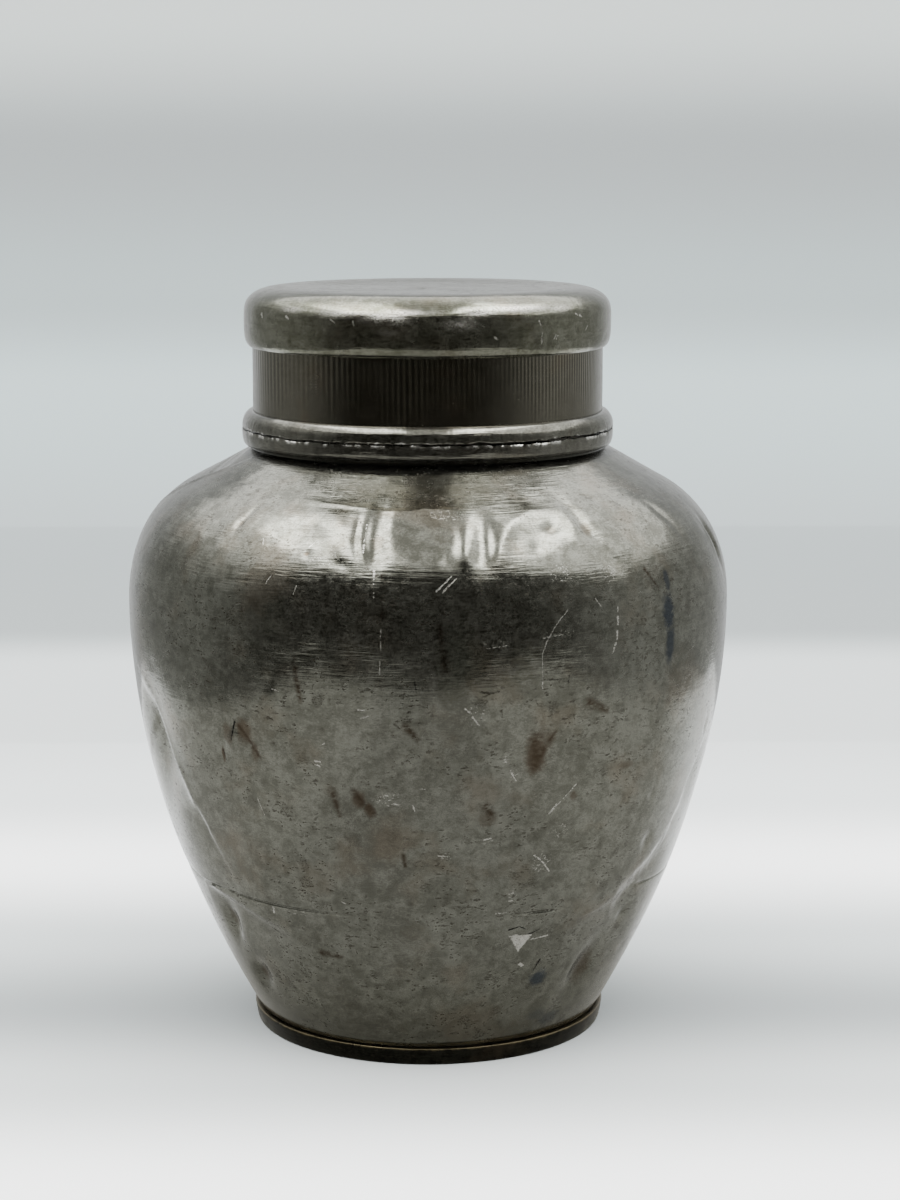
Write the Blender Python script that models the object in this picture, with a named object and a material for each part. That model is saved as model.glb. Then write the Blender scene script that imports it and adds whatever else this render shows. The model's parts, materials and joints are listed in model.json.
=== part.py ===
"""Round pewter tea caddy on a low foot ring, with a slip-on cap over a plugged neck.

Every piece is turned about the Z axis. The origin is the centre of the surface that the foot
ring stands on. Lengths are in metres.
"""
import math

import bmesh
import bpy
from mathutils import Vector

# Whole object
HEIGHT = 0.1500
SEGMENTS = 48
GAP = 0.0003            # between two pieces that rest on, or fit inside, each other
WALL = 0.0016           # body shells
ROUND_OFF = 0.0004      # broken edges of turned rims
SHARP_ANGLE = math.radians(35)

# Foot and floor of the vessel
FOOT_HEIGHT = 0.0035
FOOT_RADIUS_LOW = 0.0353
FOOT_RADIUS_HIGH = 0.0360
FOOT_WALL = 0.0024
FLOOR_THICKNESS = 0.0014

# Belly: radius = BELLY_RADIUS - BELLY_DRAW * (depth below widest point / BELLY_RUN) ** BELLY_POWER
BELLY_RADIUS = 0.06043
BELLY_Z = 0.0880
BELLY_DRAW = 0.0252
BELLY_RUN = 0.0840
BELLY_POWER = 1.93
SEAM_Z = 0.0338         # the lower and upper shells meet here
LOWER_STEPS = 6
BELLY_STEPS = 8

# Shoulder: a curve over the widest point, then a straight cone to the neck
SHOULDER_EDGE = (0.0485, 0.1110)
SHOULDER_PULL_LOW = 0.0100
SHOULDER_PULL_HIGH = 0.0030
SHOULDER_STEPS = 6
NECK_ROOT_RADIUS = 0.0357
NECK_ROOT_Z = 0.1170
NECK_ROOT_TOP = 0.1190

# Neck tube, which the cap slides over
NECK_RADIUS = 0.0338
NECK_WALL = 0.0014
NECK_BOTTOM = 0.1160
NECK_TOP = 0.1403

# The bead round the neck is split by the parting line: collar below, cap bead above
BEAD_CENTRE_RADIUS = 0.0350
BEAD_SWELL = 0.0022
BEAD_MIDDLE_Z = 0.12215
PARTING_GAP = 0.0004
COLLAR_DEPTH = 0.0028
CAP_BEAD_DEPTH = 0.0034
BEAD_STEPS = 5

# Cap
SKIRT_RADIUS = 0.0350
SKIRT_WALL = 0.0009
SKIRT_TOP = 0.1425
CAP_EDGE_Z = 0.1382
CAP_EDGE_RADIUS = 0.03570
CAP_RADIUS = 0.03665
CAP_WIDEST_Z = 0.1439
CAP_FLAT_RADIUS = 0.0265
CAP_DISH = 0.0005
CAP_DISH_RADIUS = 0.0215
CAP_WALL = 0.0013
CAP_STEPS = 6

# Inner lid, a plug with a rim that rests on the neck
PLATE_RADIUS = 0.0336
PLATE_THICKNESS = 0.0012
PLUG_WALL = 0.0010
PLUG_DEPTH = 0.0070
KNOB_FOOT_RADIUS = 0.0040
KNOB_WAIST_RADIUS = 0.0025
KNOB_HEAD_RADIUS = 0.0065
KNOB_HEIGHT = 0.0058
KNOB_HEAD_THICKNESS = 0.0026
KNOB_STEPS = 5


def clear_scene():
    for item in list(bpy.data.objects):
        bpy.data.objects.remove(item, do_unlink=True)


def make_material(name, colour, roughness):
    material = bpy.data.materials.new(name)
    material.use_nodes = True
    shader = material.node_tree.nodes["Principled BSDF"]
    shader.inputs["Base Color"].default_value = (*colour, 1.0)
    shader.inputs["Roughness"].default_value = roughness
    shader.inputs["Metallic"].default_value = 1.0
    material.diffuse_color = (*colour, 1.0)
    return material


def turned(name, outline, colour, roughness, parent):
    """One closed body from a closed outline of (radius, height) points, spun about Z."""
    body = bmesh.new()
    points = [body.verts.new((radius, 0.0, height)) for radius, height in outline]
    edges = []
    for first, second in zip(points, points[1:] + points[:1]):
        if max(first.co.x, second.co.x) > 0.0:
            edges.append(body.edges.new((first, second)))
    bmesh.ops.spin(body, geom=points + edges, cent=Vector(), axis=Vector((0.0, 0.0, 1.0)),
                   angle=math.tau, steps=SEGMENTS, use_merge=True)
    bmesh.ops.remove_doubles(body, verts=body.verts, dist=0.00001)
    bmesh.ops.recalc_face_normals(body, faces=body.faces)
    mesh = bpy.data.meshes.new(name)
    body.to_mesh(mesh)
    body.free()
    mesh.shade_smooth()
    mesh.set_sharp_from_angle(angle=SHARP_ANGLE)
    mesh.materials.append(make_material(name, colour, roughness))
    piece = bpy.data.objects.new(name, mesh)
    bpy.context.scene.collection.objects.link(piece)
    piece.parent = parent
    return piece


def steps(first, last, count):
    """Evenly spaced values from first to last, both included."""
    return [first + (last - first) * index / count for index in range(count + 1)]


def belly_radius(height, inset=0.0):
    """Outer radius of the body below its widest point, less an inset measured level."""
    depth = (BELLY_Z - height) / BELLY_RUN
    return BELLY_RADIUS - BELLY_DRAW * depth ** BELLY_POWER - inset


def level_wall(height):
    """Width, measured level, of a wall that is WALL thick across the slope of the belly."""
    depth = (BELLY_Z - height) / BELLY_RUN
    slope = BELLY_DRAW * BELLY_POWER * depth ** (BELLY_POWER - 1.0) / BELLY_RUN
    return WALL * math.hypot(1.0, slope)


def shoulder_curve(inset=0.0):
    """Bezier points from the widest point up to where the straight cone starts."""
    edge_radius, edge_z = SHOULDER_EDGE
    cone = Vector((NECK_ROOT_RADIUS - edge_radius, NECK_ROOT_Z - edge_z)).normalized()
    start = Vector((BELLY_RADIUS, BELLY_Z))
    end = Vector(SHOULDER_EDGE)
    low = start + Vector((0.0, SHOULDER_PULL_LOW))
    high = end - cone * SHOULDER_PULL_HIGH / cone.y
    points = []
    for t in steps(0.0, 1.0, SHOULDER_STEPS):
        u = 1.0 - t
        place = u ** 3 * start + 3 * u * u * t * low + 3 * u * t * t * high + t ** 3 * end
        heading = u * u * (low - start) + 2 * u * t * (high - low) + t * t * (end - high)
        inward = Vector((-heading.y, heading.x)).normalized()
        points.append(tuple(place + inward * inset))
    return points


def bead_arc(half_height, direction, start_offset):
    """Points of a half-oval bead, from the parting line to its root, going up or down."""
    points = []
    start = math.asin(start_offset / half_height)
    for angle in steps(start, math.radians(84), BEAD_STEPS):
        radius = BEAD_CENTRE_RADIUS + BEAD_SWELL * math.cos(angle)
        height = BEAD_MIDDLE_Z + direction * half_height * math.sin(angle)
        points.append((radius, height))
    return points


def foot_ring(parent):
    inner = FOOT_RADIUS_LOW - FOOT_WALL
    outline = [
        (inner, 0.0),
        (FOOT_RADIUS_LOW - ROUND_OFF, 0.0),
        (FOOT_RADIUS_LOW, ROUND_OFF),
        (FOOT_RADIUS_HIGH, FOOT_HEIGHT),
        (inner, FOOT_HEIGHT),
    ]
    return turned("foot_ring", outline, (0.10, 0.105, 0.09), 0.55, parent)


def base_plate(parent):
    """Disc soldered into the bottom edge of the lower shell, resting on the foot ring."""
    low = FOOT_HEIGHT + GAP
    high = low + FLOOR_THICKNESS
    radius = belly_radius(low, level_wall(low)) - GAP
    outline = [(0.0, low), (radius, low), (radius, high), (0.0, high)]
    return turned("base_plate", outline, (0.16, 0.15, 0.135), 0.5, parent)


def lower_body(parent):
    heights = steps(FOOT_HEIGHT + GAP, SEAM_Z - GAP / 2, LOWER_STEPS)
    outside = [(belly_radius(z), z) for z in heights]
    inside = [(belly_radius(z, level_wall(z)), z) for z in reversed(heights)]
    return turned("lower_body", outside + inside, (0.20, 0.19, 0.17), 0.42, parent)


def upper_body(parent):
    """Belly above the seam, shoulder and the short root of the neck, in one shell."""
    heights = steps(SEAM_Z + GAP / 2, BELLY_Z, BELLY_STEPS)[:-1]
    inner_root = NECK_RADIUS + GAP
    cone_rise = (NECK_ROOT_Z - SHOULDER_EDGE[1]) / (SHOULDER_EDGE[0] - NECK_ROOT_RADIUS)
    cone_drop = WALL * math.hypot(1.0, cone_rise) - (NECK_ROOT_RADIUS - inner_root) * cone_rise
    outside = [(belly_radius(z), z) for z in heights]
    outside += shoulder_curve()
    outside += [(NECK_ROOT_RADIUS, NECK_ROOT_Z), (NECK_ROOT_RADIUS, NECK_ROOT_TOP)]
    inside = [(inner_root, NECK_ROOT_TOP), (inner_root, NECK_ROOT_Z - cone_drop)]
    inside += list(reversed(shoulder_curve(WALL)))
    inside += [(belly_radius(z, level_wall(z)), z) for z in reversed(heights)]
    return turned("upper_body", outside + inside, (0.20, 0.19, 0.17), 0.38, parent)


def neck_tube(parent):
    inner = NECK_RADIUS - NECK_WALL
    outline = [
        (inner, NECK_BOTTOM),
        (NECK_RADIUS, NECK_BOTTOM),
        (NECK_RADIUS, NECK_TOP - ROUND_OFF),
        (NECK_RADIUS - ROUND_OFF, NECK_TOP),
        (inner, NECK_TOP),
    ]
    return turned("neck_tube", outline, (0.24, 0.23, 0.21), 0.35, parent)


def collar_ring(parent):
    inner = NECK_RADIUS + GAP
    arc = bead_arc(COLLAR_DEPTH, -1.0, PARTING_GAP / 2)
    outline = [(inner, arc[-1][1])] + list(reversed(arc)) + [(inner, arc[0][1])]
    return turned("collar_ring", outline, (0.22, 0.21, 0.19), 0.32, parent)


def cap_bead(parent):
    inner = SKIRT_RADIUS + GAP
    arc = [point for point in bead_arc(CAP_BEAD_DEPTH, 1.0, PARTING_GAP / 2) if point[0] > inner]
    outline = [(inner, arc[0][1])] + arc + [(inner, arc[-1][1])]
    return turned("cap_bead", outline, (0.26, 0.25, 0.23), 0.28, parent)


def cap_skirt(parent):
    inner = SKIRT_RADIUS - SKIRT_WALL
    bottom = BEAD_MIDDLE_Z + PARTING_GAP / 2
    outline = [(inner, bottom), (SKIRT_RADIUS, bottom), (SKIRT_RADIUS, SKIRT_TOP),
               (inner, SKIRT_TOP)]
    return turned("cap_skirt", outline, (0.19, 0.175, 0.155), 0.36, parent)


def cap_top(parent):
    """Shallow pan with a full round edge, lapped over the top of the skirt."""
    inner_side = SKIRT_RADIUS + GAP
    inner_bend = SKIRT_TOP + GAP
    under = HEIGHT - CAP_DISH - CAP_WALL
    outside = []
    for z in steps(CAP_EDGE_Z, CAP_WIDEST_Z, 3)[:-1]:
        pull = (CAP_WIDEST_Z - z) / (CAP_WIDEST_Z - CAP_EDGE_Z)
        outside.append((CAP_RADIUS - (CAP_RADIUS - CAP_EDGE_RADIUS) * pull ** 2, z))
    for angle in steps(0.0, math.pi / 2, CAP_STEPS):
        outside.append((CAP_FLAT_RADIUS + (CAP_RADIUS - CAP_FLAT_RADIUS) * math.cos(angle),
                        CAP_WIDEST_Z + (HEIGHT - CAP_WIDEST_Z) * math.sin(angle)))
    dish = [(CAP_DISH_RADIUS, HEIGHT - CAP_DISH), (0.0, HEIGHT - CAP_DISH)]
    inside = [(0.0, under)]
    for angle in steps(math.pi / 2, 0.0, CAP_STEPS - 2):
        inside.append((CAP_FLAT_RADIUS + (inner_side - CAP_FLAT_RADIUS) * math.cos(angle),
                       inner_bend + (under - inner_bend) * math.sin(angle)))
    inside.append((inner_side, CAP_EDGE_Z))
    return turned("cap_top", outside + dish + inside, (0.27, 0.26, 0.24), 0.4, parent)


def inner_lid_plate(parent):
    low = NECK_TOP + GAP
    high = low + PLATE_THICKNESS
    outline = [(0.0, low), (PLATE_RADIUS, low), (PLATE_RADIUS, high - ROUND_OFF),
               (PLATE_RADIUS - ROUND_OFF, high), (0.0, high)]
    return turned("inner_lid_plate", outline, (0.24, 0.23, 0.21), 0.4, parent)


def inner_lid_plug(parent):
    """Ring under the plate that slips into the neck."""
    outer = NECK_RADIUS - NECK_WALL - GAP
    inner = outer - PLUG_WALL
    low = NECK_TOP - PLUG_DEPTH
    outline = [(inner, low), (outer - ROUND_OFF, low), (outer, low + ROUND_OFF),
               (outer, NECK_TOP), (inner, NECK_TOP)]
    return turned("inner_lid_plug", outline, (0.24, 0.23, 0.21), 0.38, parent)


def inner_lid_knob(parent):
    """Button on a waisted stem, soldered to the middle of the plate."""
    bottom = NECK_TOP + PLATE_THICKNESS + 2 * GAP
    top = bottom + KNOB_HEIGHT
    half = KNOB_HEAD_THICKNESS / 2
    middle = top - half
    outline = [(0.0, bottom), (KNOB_FOOT_RADIUS, bottom),
               (KNOB_FOOT_RADIUS, bottom + ROUND_OFF),
               (KNOB_WAIST_RADIUS, (bottom + middle - half) / 2),
               (KNOB_WAIST_RADIUS, middle - half)]
    for angle in steps(-math.radians(60), math.pi / 2, KNOB_STEPS):
        outline.append((KNOB_HEAD_RADIUS - half + half * math.cos(angle),
                        middle + half * math.sin(angle)))
    outline.append((0.0, top))
    return turned("inner_lid_knob", outline, (0.25, 0.24, 0.22), 0.3, parent)


def axis_empty(name):
    """Empty on the turning axis, which holds the pieces that move together."""
    empty = bpy.data.objects.new(name, None)
    empty.empty_display_size = BELLY_RADIUS / 3
    bpy.context.scene.collection.objects.link(empty)
    return empty


def build():
    clear_scene()
    vessel = axis_empty("vessel_group")
    for make in (foot_ring, base_plate, lower_body, upper_body, neck_tube, collar_ring):
        make(vessel)
    cap = axis_empty("cap_group")
    for make in (cap_bead, cap_skirt, cap_top):
        make(cap)
    inner_lid = axis_empty("inner_lid_group")
    for make in (inner_lid_plate, inner_lid_plug, inner_lid_knob):
        make(inner_lid)


build()
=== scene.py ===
"""Looks of a worn pewter tea caddy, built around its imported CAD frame.

Shapes are worked out in millimetres and turned into metres when a mesh is made. Bearings are
degrees round the turning axis: 0 is the front (-Y) and 90 is +X. Every piece is a turned skin
with a relief of dents, creases and turning marks laid on it.
"""

import json
import math

import bpy
import numpy as np
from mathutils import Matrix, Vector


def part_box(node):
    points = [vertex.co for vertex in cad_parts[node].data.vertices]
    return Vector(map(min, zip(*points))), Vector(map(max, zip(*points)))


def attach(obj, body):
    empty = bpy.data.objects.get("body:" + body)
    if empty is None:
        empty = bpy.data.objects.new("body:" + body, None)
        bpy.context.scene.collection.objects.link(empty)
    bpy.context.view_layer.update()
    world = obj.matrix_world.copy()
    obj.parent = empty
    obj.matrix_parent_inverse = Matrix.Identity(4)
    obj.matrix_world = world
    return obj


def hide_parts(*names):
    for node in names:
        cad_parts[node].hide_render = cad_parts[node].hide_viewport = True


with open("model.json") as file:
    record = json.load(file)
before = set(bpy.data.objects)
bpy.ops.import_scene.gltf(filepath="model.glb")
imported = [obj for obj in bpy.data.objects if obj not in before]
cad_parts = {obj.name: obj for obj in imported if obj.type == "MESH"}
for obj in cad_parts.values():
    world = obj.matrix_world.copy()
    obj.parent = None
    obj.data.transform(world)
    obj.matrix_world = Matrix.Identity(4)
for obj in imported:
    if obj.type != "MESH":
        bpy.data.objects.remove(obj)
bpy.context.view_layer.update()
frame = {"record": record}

MM = 0.001
TAU = math.tau

# ---------------------------------------------------------------- sizes from the frame


def box_mm(node):
    """Low and high corners of a CAD node, in mm."""
    low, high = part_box(node)
    return np.array(low) / MM, np.array(high) / MM


_, foot_high = box_mm("foot_ring")
floor_low, floor_high = box_mm("base_plate")
lower_low, lower_high = box_mm("lower_body")
upper_low, upper_high = box_mm("upper_body")
neck_low, neck_high = box_mm("neck_tube")
collar_low, collar_high = box_mm("collar_ring")
bead_low, bead_high = box_mm("cap_bead")
skirt_low, skirt_high = box_mm("cap_skirt")
top_low, top_high = box_mm("cap_top")
plate_low, plate_high = box_mm("inner_lid_plate")
plug_low, plug_high = box_mm("inner_lid_plug")
knob_low, knob_high = box_mm("inner_lid_knob")

BODY_WALL, NECK_WALL, SKIRT_WALL, CAP_WALL, PLUG_WALL = 1.6, 1.4, 0.9, 1.3, 1.0
SEAM_Z = (lower_high[2] + upper_low[2]) / 2
PARTING_Z = (collar_high[2] + bead_low[2]) / 2
BELLY_RADIUS = upper_high[0]
BELLY_Z = 88.0
BELLY_DRAW = 25.2
BELLY_RUN = 84.0
BELLY_POWER = 1.93
SHOULDER_EDGE = np.array([48.5, 111.0])
CONE_TOP = np.array([35.8, 118.15])
SHOULDER_PULLS = (11.0, 4.0)

# ---------------------------------------------------------------- skins and relief


def arc_lengths(points):
    """How far along an outline each of its points is."""
    return np.concatenate([[0.0], np.cumsum(np.hypot(*np.diff(points, axis=0).T))])


SKIN_PITCH = 0.1
WAVE_COUNT = 6
RAGGED_COUNT = 60


class Skin:
    """Outline of a turned surface, read by its arc length s, with a relief on top of it."""

    def __init__(self, points):
        points = np.array(points, float)
        lengths = arc_lengths(points)
        self.s = np.linspace(0.0, lengths[-1], int(lengths[-1] / SKIN_PITCH) + 2)
        self.r = np.interp(self.s, lengths, points[:, 0])
        self.z = np.interp(self.s, lengths, points[:, 1])
        heading = np.stack([np.gradient(self.r, self.s), np.gradient(self.z, self.s)])
        heading /= np.hypot(*heading)
        self.nr, self.nz = heading[1], -heading[0]
        self.rising = int(np.argmax(self.z)) + 1
        self.reliefs = []
        self.slides = []

    def at(self, s):
        """Radius, height and outward direction of the outline at s."""
        return tuple(np.interp(s, self.s, line) for line in (self.r, self.z, self.nr, self.nz))

    def s_at(self, z):
        return np.interp(z, self.z[:self.rising], self.s[:self.rising])

    def local(self, bearing, z):
        """Function giving level and up distances, in mm, from a spot on the skin."""
        s0 = self.s_at(z)
        radius = self.at(s0)[0]
        b0 = math.radians(bearing)

        def away(b, s):
            return ((b - b0 + math.pi) % TAU - math.pi) * radius, s - s0
        return away

    def dent(self, bearing, z, width, height, depth, tilt=0.0):
        """Oval hollow: half width and half height in mm, and how far it is pushed in."""
        away = self.local(bearing, z)
        c, k = math.cos(math.radians(tilt)), math.sin(math.radians(tilt))

        def relief(b, s):
            u, v = away(b, s)
            far = ((c * u + k * v) / width) ** 2 + ((c * v - k * u) / height) ** 2
            return -depth * np.exp(-far)
        self.reliefs.append(relief)

    def from_line(self, points):
        """Function giving the distance to a line on the skin, its side, and the share along."""
        middle = points[len(points) // 2]
        away = self.local(*middle)
        radius = self.at(self.s_at(middle[1]))[0]
        knots = np.array([(math.radians(b - middle[0]) * radius,
                           self.s_at(z) - self.s_at(middle[1])) for b, z in points])

        def measure(b, s):
            u, v = away(b, s)
            best = np.full(np.shape(u), 1e9)
            side = np.zeros(np.shape(u))
            share = np.zeros(np.shape(u))
            for index, (start, end) in enumerate(zip(knots[:-1], knots[1:])):
                run = end - start
                along = ((u - start[0]) * run[0] + (v - start[1]) * run[1]) / (run @ run)
                held = np.clip(along, 0.0, 1.0)
                du, dv = u - start[0] - held * run[0], v - start[1] - held * run[1]
                gap = np.hypot(du, dv)
                closer = gap < best
                best = np.where(closer, gap, best)
                side = np.where(closer, np.sign(run[0] * dv - run[1] * du), side)
                share = np.where(closer, (index + held) / (len(knots) - 1), share)
            return best, side, share
        return measure

    def ridge(self, points, width, height):
        """Raised line if height is above 0, groove if it is below; it dies out at its ends."""
        measure = self.from_line(points)

        def relief(b, s):
            gap, _, share = measure(b, s)
            return height * np.exp(-(gap / width) ** 1.5) * np.sin(math.pi * (0.08 + 0.84 * share))
        self.reliefs.append(relief)

    def flute(self, points, width, depth, left_lip=0.2, right_lip=0.2):
        """Long hollow with a soft raised lip on either side of its heading."""
        measure = self.from_line(points)

        def relief(b, s):
            gap, side, share = measure(b, s)
            fade = np.sin(math.pi * (0.04 + 0.92 * share)) ** 0.8
            lip = np.where(side > 0, left_lip, right_lip)
            return depth * fade * (lip * bell(gap / width, 2.1, 1.0)
                                   - np.exp(-(gap / width) ** 2.6))
        self.reliefs.append(relief)

    def fold(self, points, run, depth):
        """Crease with a hollow on the left of its heading: sharp at the line, deepest at run."""
        measure = self.from_line(points)

        def relief(b, s):
            gap, side, share = measure(b, s)
            fade = np.sin(math.pi * (0.05 + 0.9 * share)) * np.where(side > 0, 1.0, 0.0)
            return -depth * fade * (gap / run) * np.exp(1.0 - gap / run)
        self.reliefs.append(relief)

    def surface(self, b, s):
        """Points of the finished skin, in mm, at bearings b (radians) and arc lengths s."""
        for slide in self.slides:
            s = s + slide(b, s)
        r, z, nr, nz = self.at(s)
        lift = sum((relief(b, s) for relief in self.reliefs), np.zeros(np.shape(r)))
        return r + nr * lift, z + nz * lift

    def spot(self, bearing, z):
        """One finished point of the skin as (x, y, z) in mm."""
        b = np.array([math.radians(bearing)])
        r, height = self.surface(b, np.array([self.s_at(z)]))
        return (float(r[0] * np.sin(b[0])), float(-r[0] * np.cos(b[0])), float(height[0]))


def degrees_of(b):
    """Bearings in degrees from -180 to 180."""
    return (np.degrees(b) + 180.0) % 360.0 - 180.0


def bell(value, centre, width):
    """Smooth bump of height 1 at centre."""
    return np.exp(-((value - centre) / width) ** 2)


def wave(b, s, seed, longest=90.0, reach=3):
    """Smooth unevenness between about -1 and 1 that closes up all the way round."""
    draw = np.random.default_rng(seed)
    total = np.zeros(np.broadcast(b, s).shape)
    for _ in range(WAVE_COUNT):
        turns = draw.integers(1, reach + 1)
        length = longest * draw.uniform(0.4, 1.0)
        total += np.sin(turns * b + draw.uniform(0, TAU)) * np.sin(
            TAU * s / length + draw.uniform(0, TAU))
    return total / math.sqrt(WAVE_COUNT)


def ragged(b, seed, lowest, highest):
    """Uneven closed line round the axis, for chipped edges, between about -1 and 1."""
    draw = np.random.default_rng(seed)
    total = np.zeros(np.shape(b))
    weight = 0.0
    for turns in draw.integers(lowest, highest, RAGGED_COUNT):
        share = 1.0 / math.sqrt(turns)
        total += share * np.sin(turns * b + draw.uniform(0, TAU))
        weight += share * share
    return total / math.sqrt(weight)


# ---------------------------------------------------------------- meshes


def all_round(columns, crowding=0.0):
    """Bearings in radians all the way round, closer together near the front if crowded."""
    fine = np.linspace(-math.pi, math.pi, 7201)
    density = 1.0 + crowding * np.exp(-(fine / math.radians(58)) ** 2)
    share = np.concatenate([[0.0], np.cumsum((density[1:] + density[:-1]) / 2)])
    return np.interp(np.arange(columns) / columns, share / share[-1], fine)


def even(first, last, pitch):
    """Evenly spaced values, with both ends and about that pitch."""
    count = max(2, int(abs(last - first) / pitch) + 1)
    return np.linspace(first, last, count)


def new_object(name, data):
    thing = bpy.data.objects.new(name, data)
    bpy.context.scene.collection.objects.link(thing)
    return thing


def turned(name, node, columns, r, z, material, extras, crowding=0.0):
    """Closed piece from rows of radii and heights in mm. A row is one number or one per column.

    Rows run up the outside and down the inside, so faces point out. A first and last row of
    radius 0 close the piece on the axis. extras maps attribute names to rows x columns values.
    """
    rows = len(r)
    bearings = all_round(columns, crowding)
    r = np.stack([np.broadcast_to(row, columns) for row in r])
    z = np.stack([np.broadcast_to(row, columns) for row in z])
    points = np.stack([r * np.sin(bearings), -r * np.cos(bearings), z], axis=-1) * MM
    capped = bool(np.all(r[0] < 1e-6))
    index = np.arange(rows * columns).reshape(rows, columns)
    if capped:
        index[0] = index[0, 0]
        index[-1] = index[-1, 0]
    pairs = range(rows - 1) if capped else range(rows)
    faces = []
    for row in pairs:
        low, high = index[row], index[(row + 1) % rows]
        quads = np.stack([low, np.roll(low, -1), np.roll(high, -1), high], axis=1)
        faces.extend(tuple(dict.fromkeys(quad)) for quad in quads.tolist())
    mesh = bpy.data.meshes.new(name)
    flat = points.reshape(-1, 3)
    used = np.unique(index)
    remap = np.full(len(flat), -1)
    remap[used] = np.arange(len(used))
    mesh.from_pydata(flat[used].tolist(), [], [[int(remap[v]) for v in f] for f in faces])
    for title, values in extras.items():
        layer = mesh.attributes.new(title, "FLOAT", "POINT")
        full = np.stack([np.broadcast_to(row, columns) for row in values]).reshape(-1)
        layer.data.foreach_set("value", full[used].astype(np.float32))
    mesh.shade_smooth()
    mesh.set_sharp_from_angle(angle=math.radians(50))
    mesh.materials.append(material)
    piece = new_object(name, mesh)
    body = next(body for body, nodes in frame["record"]["behaviour"]["bodies"].items()
                if node in nodes)
    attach(piece, body)
    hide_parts(node)
    next(part["material_slot"] for part in frame["record"]["subparts"]
                        if part["node"] == node)


def skin_rows(skin, s_values, columns, wall=0.0, crowding=0.0):
    """Rows of a skin with its relief, or of a sheet's back, wall behind it: r, z and s."""
    b, s = np.meshgrid(all_round(columns, crowding), s_values)
    r, z = skin.surface(b, s)
    _, _, nr, nz = skin.at(s)
    return list(r - nr * wall), list(z - nz * wall), list(s)


# ---------------------------------------------------------------- material nodes


class Value:
    """Output of a shader node. Sums of values are written as sums, and become nodes."""

    def __init__(self, graph, socket):
        self.graph, self.socket = graph, socket

    def __add__(self, other):
        return self.graph.math("ADD", self, other)

    def __sub__(self, other):
        return self.graph.math("SUBTRACT", self, other)

    def __mul__(self, other):
        return self.graph.math("MULTIPLY", self, other)

    def __truediv__(self, other):
        return self.graph.math("DIVIDE", self, other)

    def __abs__(self):
        return self.graph.math("ABSOLUTE", self)


class Graph:
    """Short names for the nodes that the materials are made of."""

    def __init__(self, tree):
        self.tree = tree

    def link(self, value, socket):
        """Feed a socket from a value, or set it to a constant. A colour may leave out alpha."""
        if isinstance(value, Value):
            self.tree.links.new(value.socket, socket)
        elif isinstance(value, tuple) and len(value) < len(socket.default_value):
            socket.default_value = (*value, 1.0)
        else:
            socket.default_value = value

    def put(self, kind, inputs, **settings):
        """A node of that kind with its sockets fed; settings are its own properties."""
        node = self.tree.nodes.new(kind)
        for key, setting in settings.items():
            setattr(node, key, setting)
        for socket, value in inputs.items():
            self.link(value, node.inputs[socket])
        return node

    def value(self, kind, inputs, out=0, **settings):
        return Value(self, self.put(kind, inputs, **settings).outputs[out])

    def math(self, operation, *values):
        return self.value("ShaderNodeMath", dict(enumerate(values)), operation=operation)

    def vector(self, operation, *values, out=0):
        return self.value("ShaderNodeVectorMath", dict(enumerate(values)), out,
                          operation=operation)

    def place(self):
        return self.value("ShaderNodeTexCoord", {}, "Object")

    def parts(self, vector):
        node = self.put("ShaderNodeSeparateXYZ", {"Vector": vector})
        return [Value(self, output) for output in node.outputs]

    def stretch(self, vector, x, y, z):
        return self.vector("MULTIPLY", vector, (x, y, z))

    def attribute(self, name):
        return self.value("ShaderNodeAttribute", {}, "Fac", attribute_name=name)

    def noise(self, vector, scale, detail=3.0, roughness=0.55, distortion=0.0):
        return self.value("ShaderNodeTexNoise", {
            "Vector": vector, "Scale": scale, "Detail": detail, "Roughness": roughness,
            "Distortion": distortion}, "Fac")

    def stray(self, vector, scale, reach):
        """Small steps to every side, up to half of reach, that vary over space."""
        steps = self.value("ShaderNodeTexNoise", {"Vector": vector, "Scale": scale}, "Color")
        return self.vector("MULTIPLY", self.vector("SUBTRACT", steps, (0.5, 0.5, 0.5)), reach)

    def dots(self, vector, scale, share, size):
        """Round dots of many sizes, in a share of the cells of a loose grid."""
        cells = self.put("ShaderNodeTexVoronoi", {"Vector": vector, "Scale": scale})
        drawn = self.value("ShaderNodeSeparateColor",
                           {"Color": Value(self, cells.outputs["Color"])})
        reach = self.ramp(drawn, 1.0 - share, 1.0, 0.0, size)
        return self.ramp(reach - Value(self, cells.outputs["Distance"]), 0.0, 0.12)

    def ramp(self, value, low, high, to_low=0.0, to_high=1.0):
        """Smooth step as value goes from low to high, which may be the smaller."""
        return self.value("ShaderNodeMapRange", {
            "Value": value, "From Min": low, "From Max": high, "To Min": to_low,
            "To Max": to_high}, interpolation_type="SMOOTHSTEP")

    def mix(self, share, first, second):
        return self.value("ShaderNodeMix", {0: share, 6: first, 7: second}, 2, data_type="RGBA")

    def strongest(self, masks):
        total = masks[0] if masks else 0.0
        for mask in masks[1:]:
            total = self.math("MAXIMUM", total, mask)
        return total


def new_material(name):
    """A material, the graph of its nodes, and its shader node."""
    material = bpy.data.materials.new(name)
    material.use_nodes = True
    return material, Graph(material.node_tree), material.node_tree.nodes["Principled BSDF"]


def mask_group(name, inputs):
    """A node group with one output: its graph, the values given to it, and its result socket."""
    tree = bpy.data.node_groups.new(name, "ShaderNodeTree")
    for title, kind in inputs.items():
        tree.interface.new_socket(title, in_out="INPUT", socket_type="NodeSocket" + kind)
    tree.interface.new_socket("Mask", in_out="OUTPUT", socket_type="NodeSocketFloat")
    g = Graph(tree)
    given = tree.nodes.new("NodeGroupInput").outputs
    result = tree.nodes.new("NodeGroupOutput").inputs[0]
    return g, [Value(g, given[title]) for title in inputs], result


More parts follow.
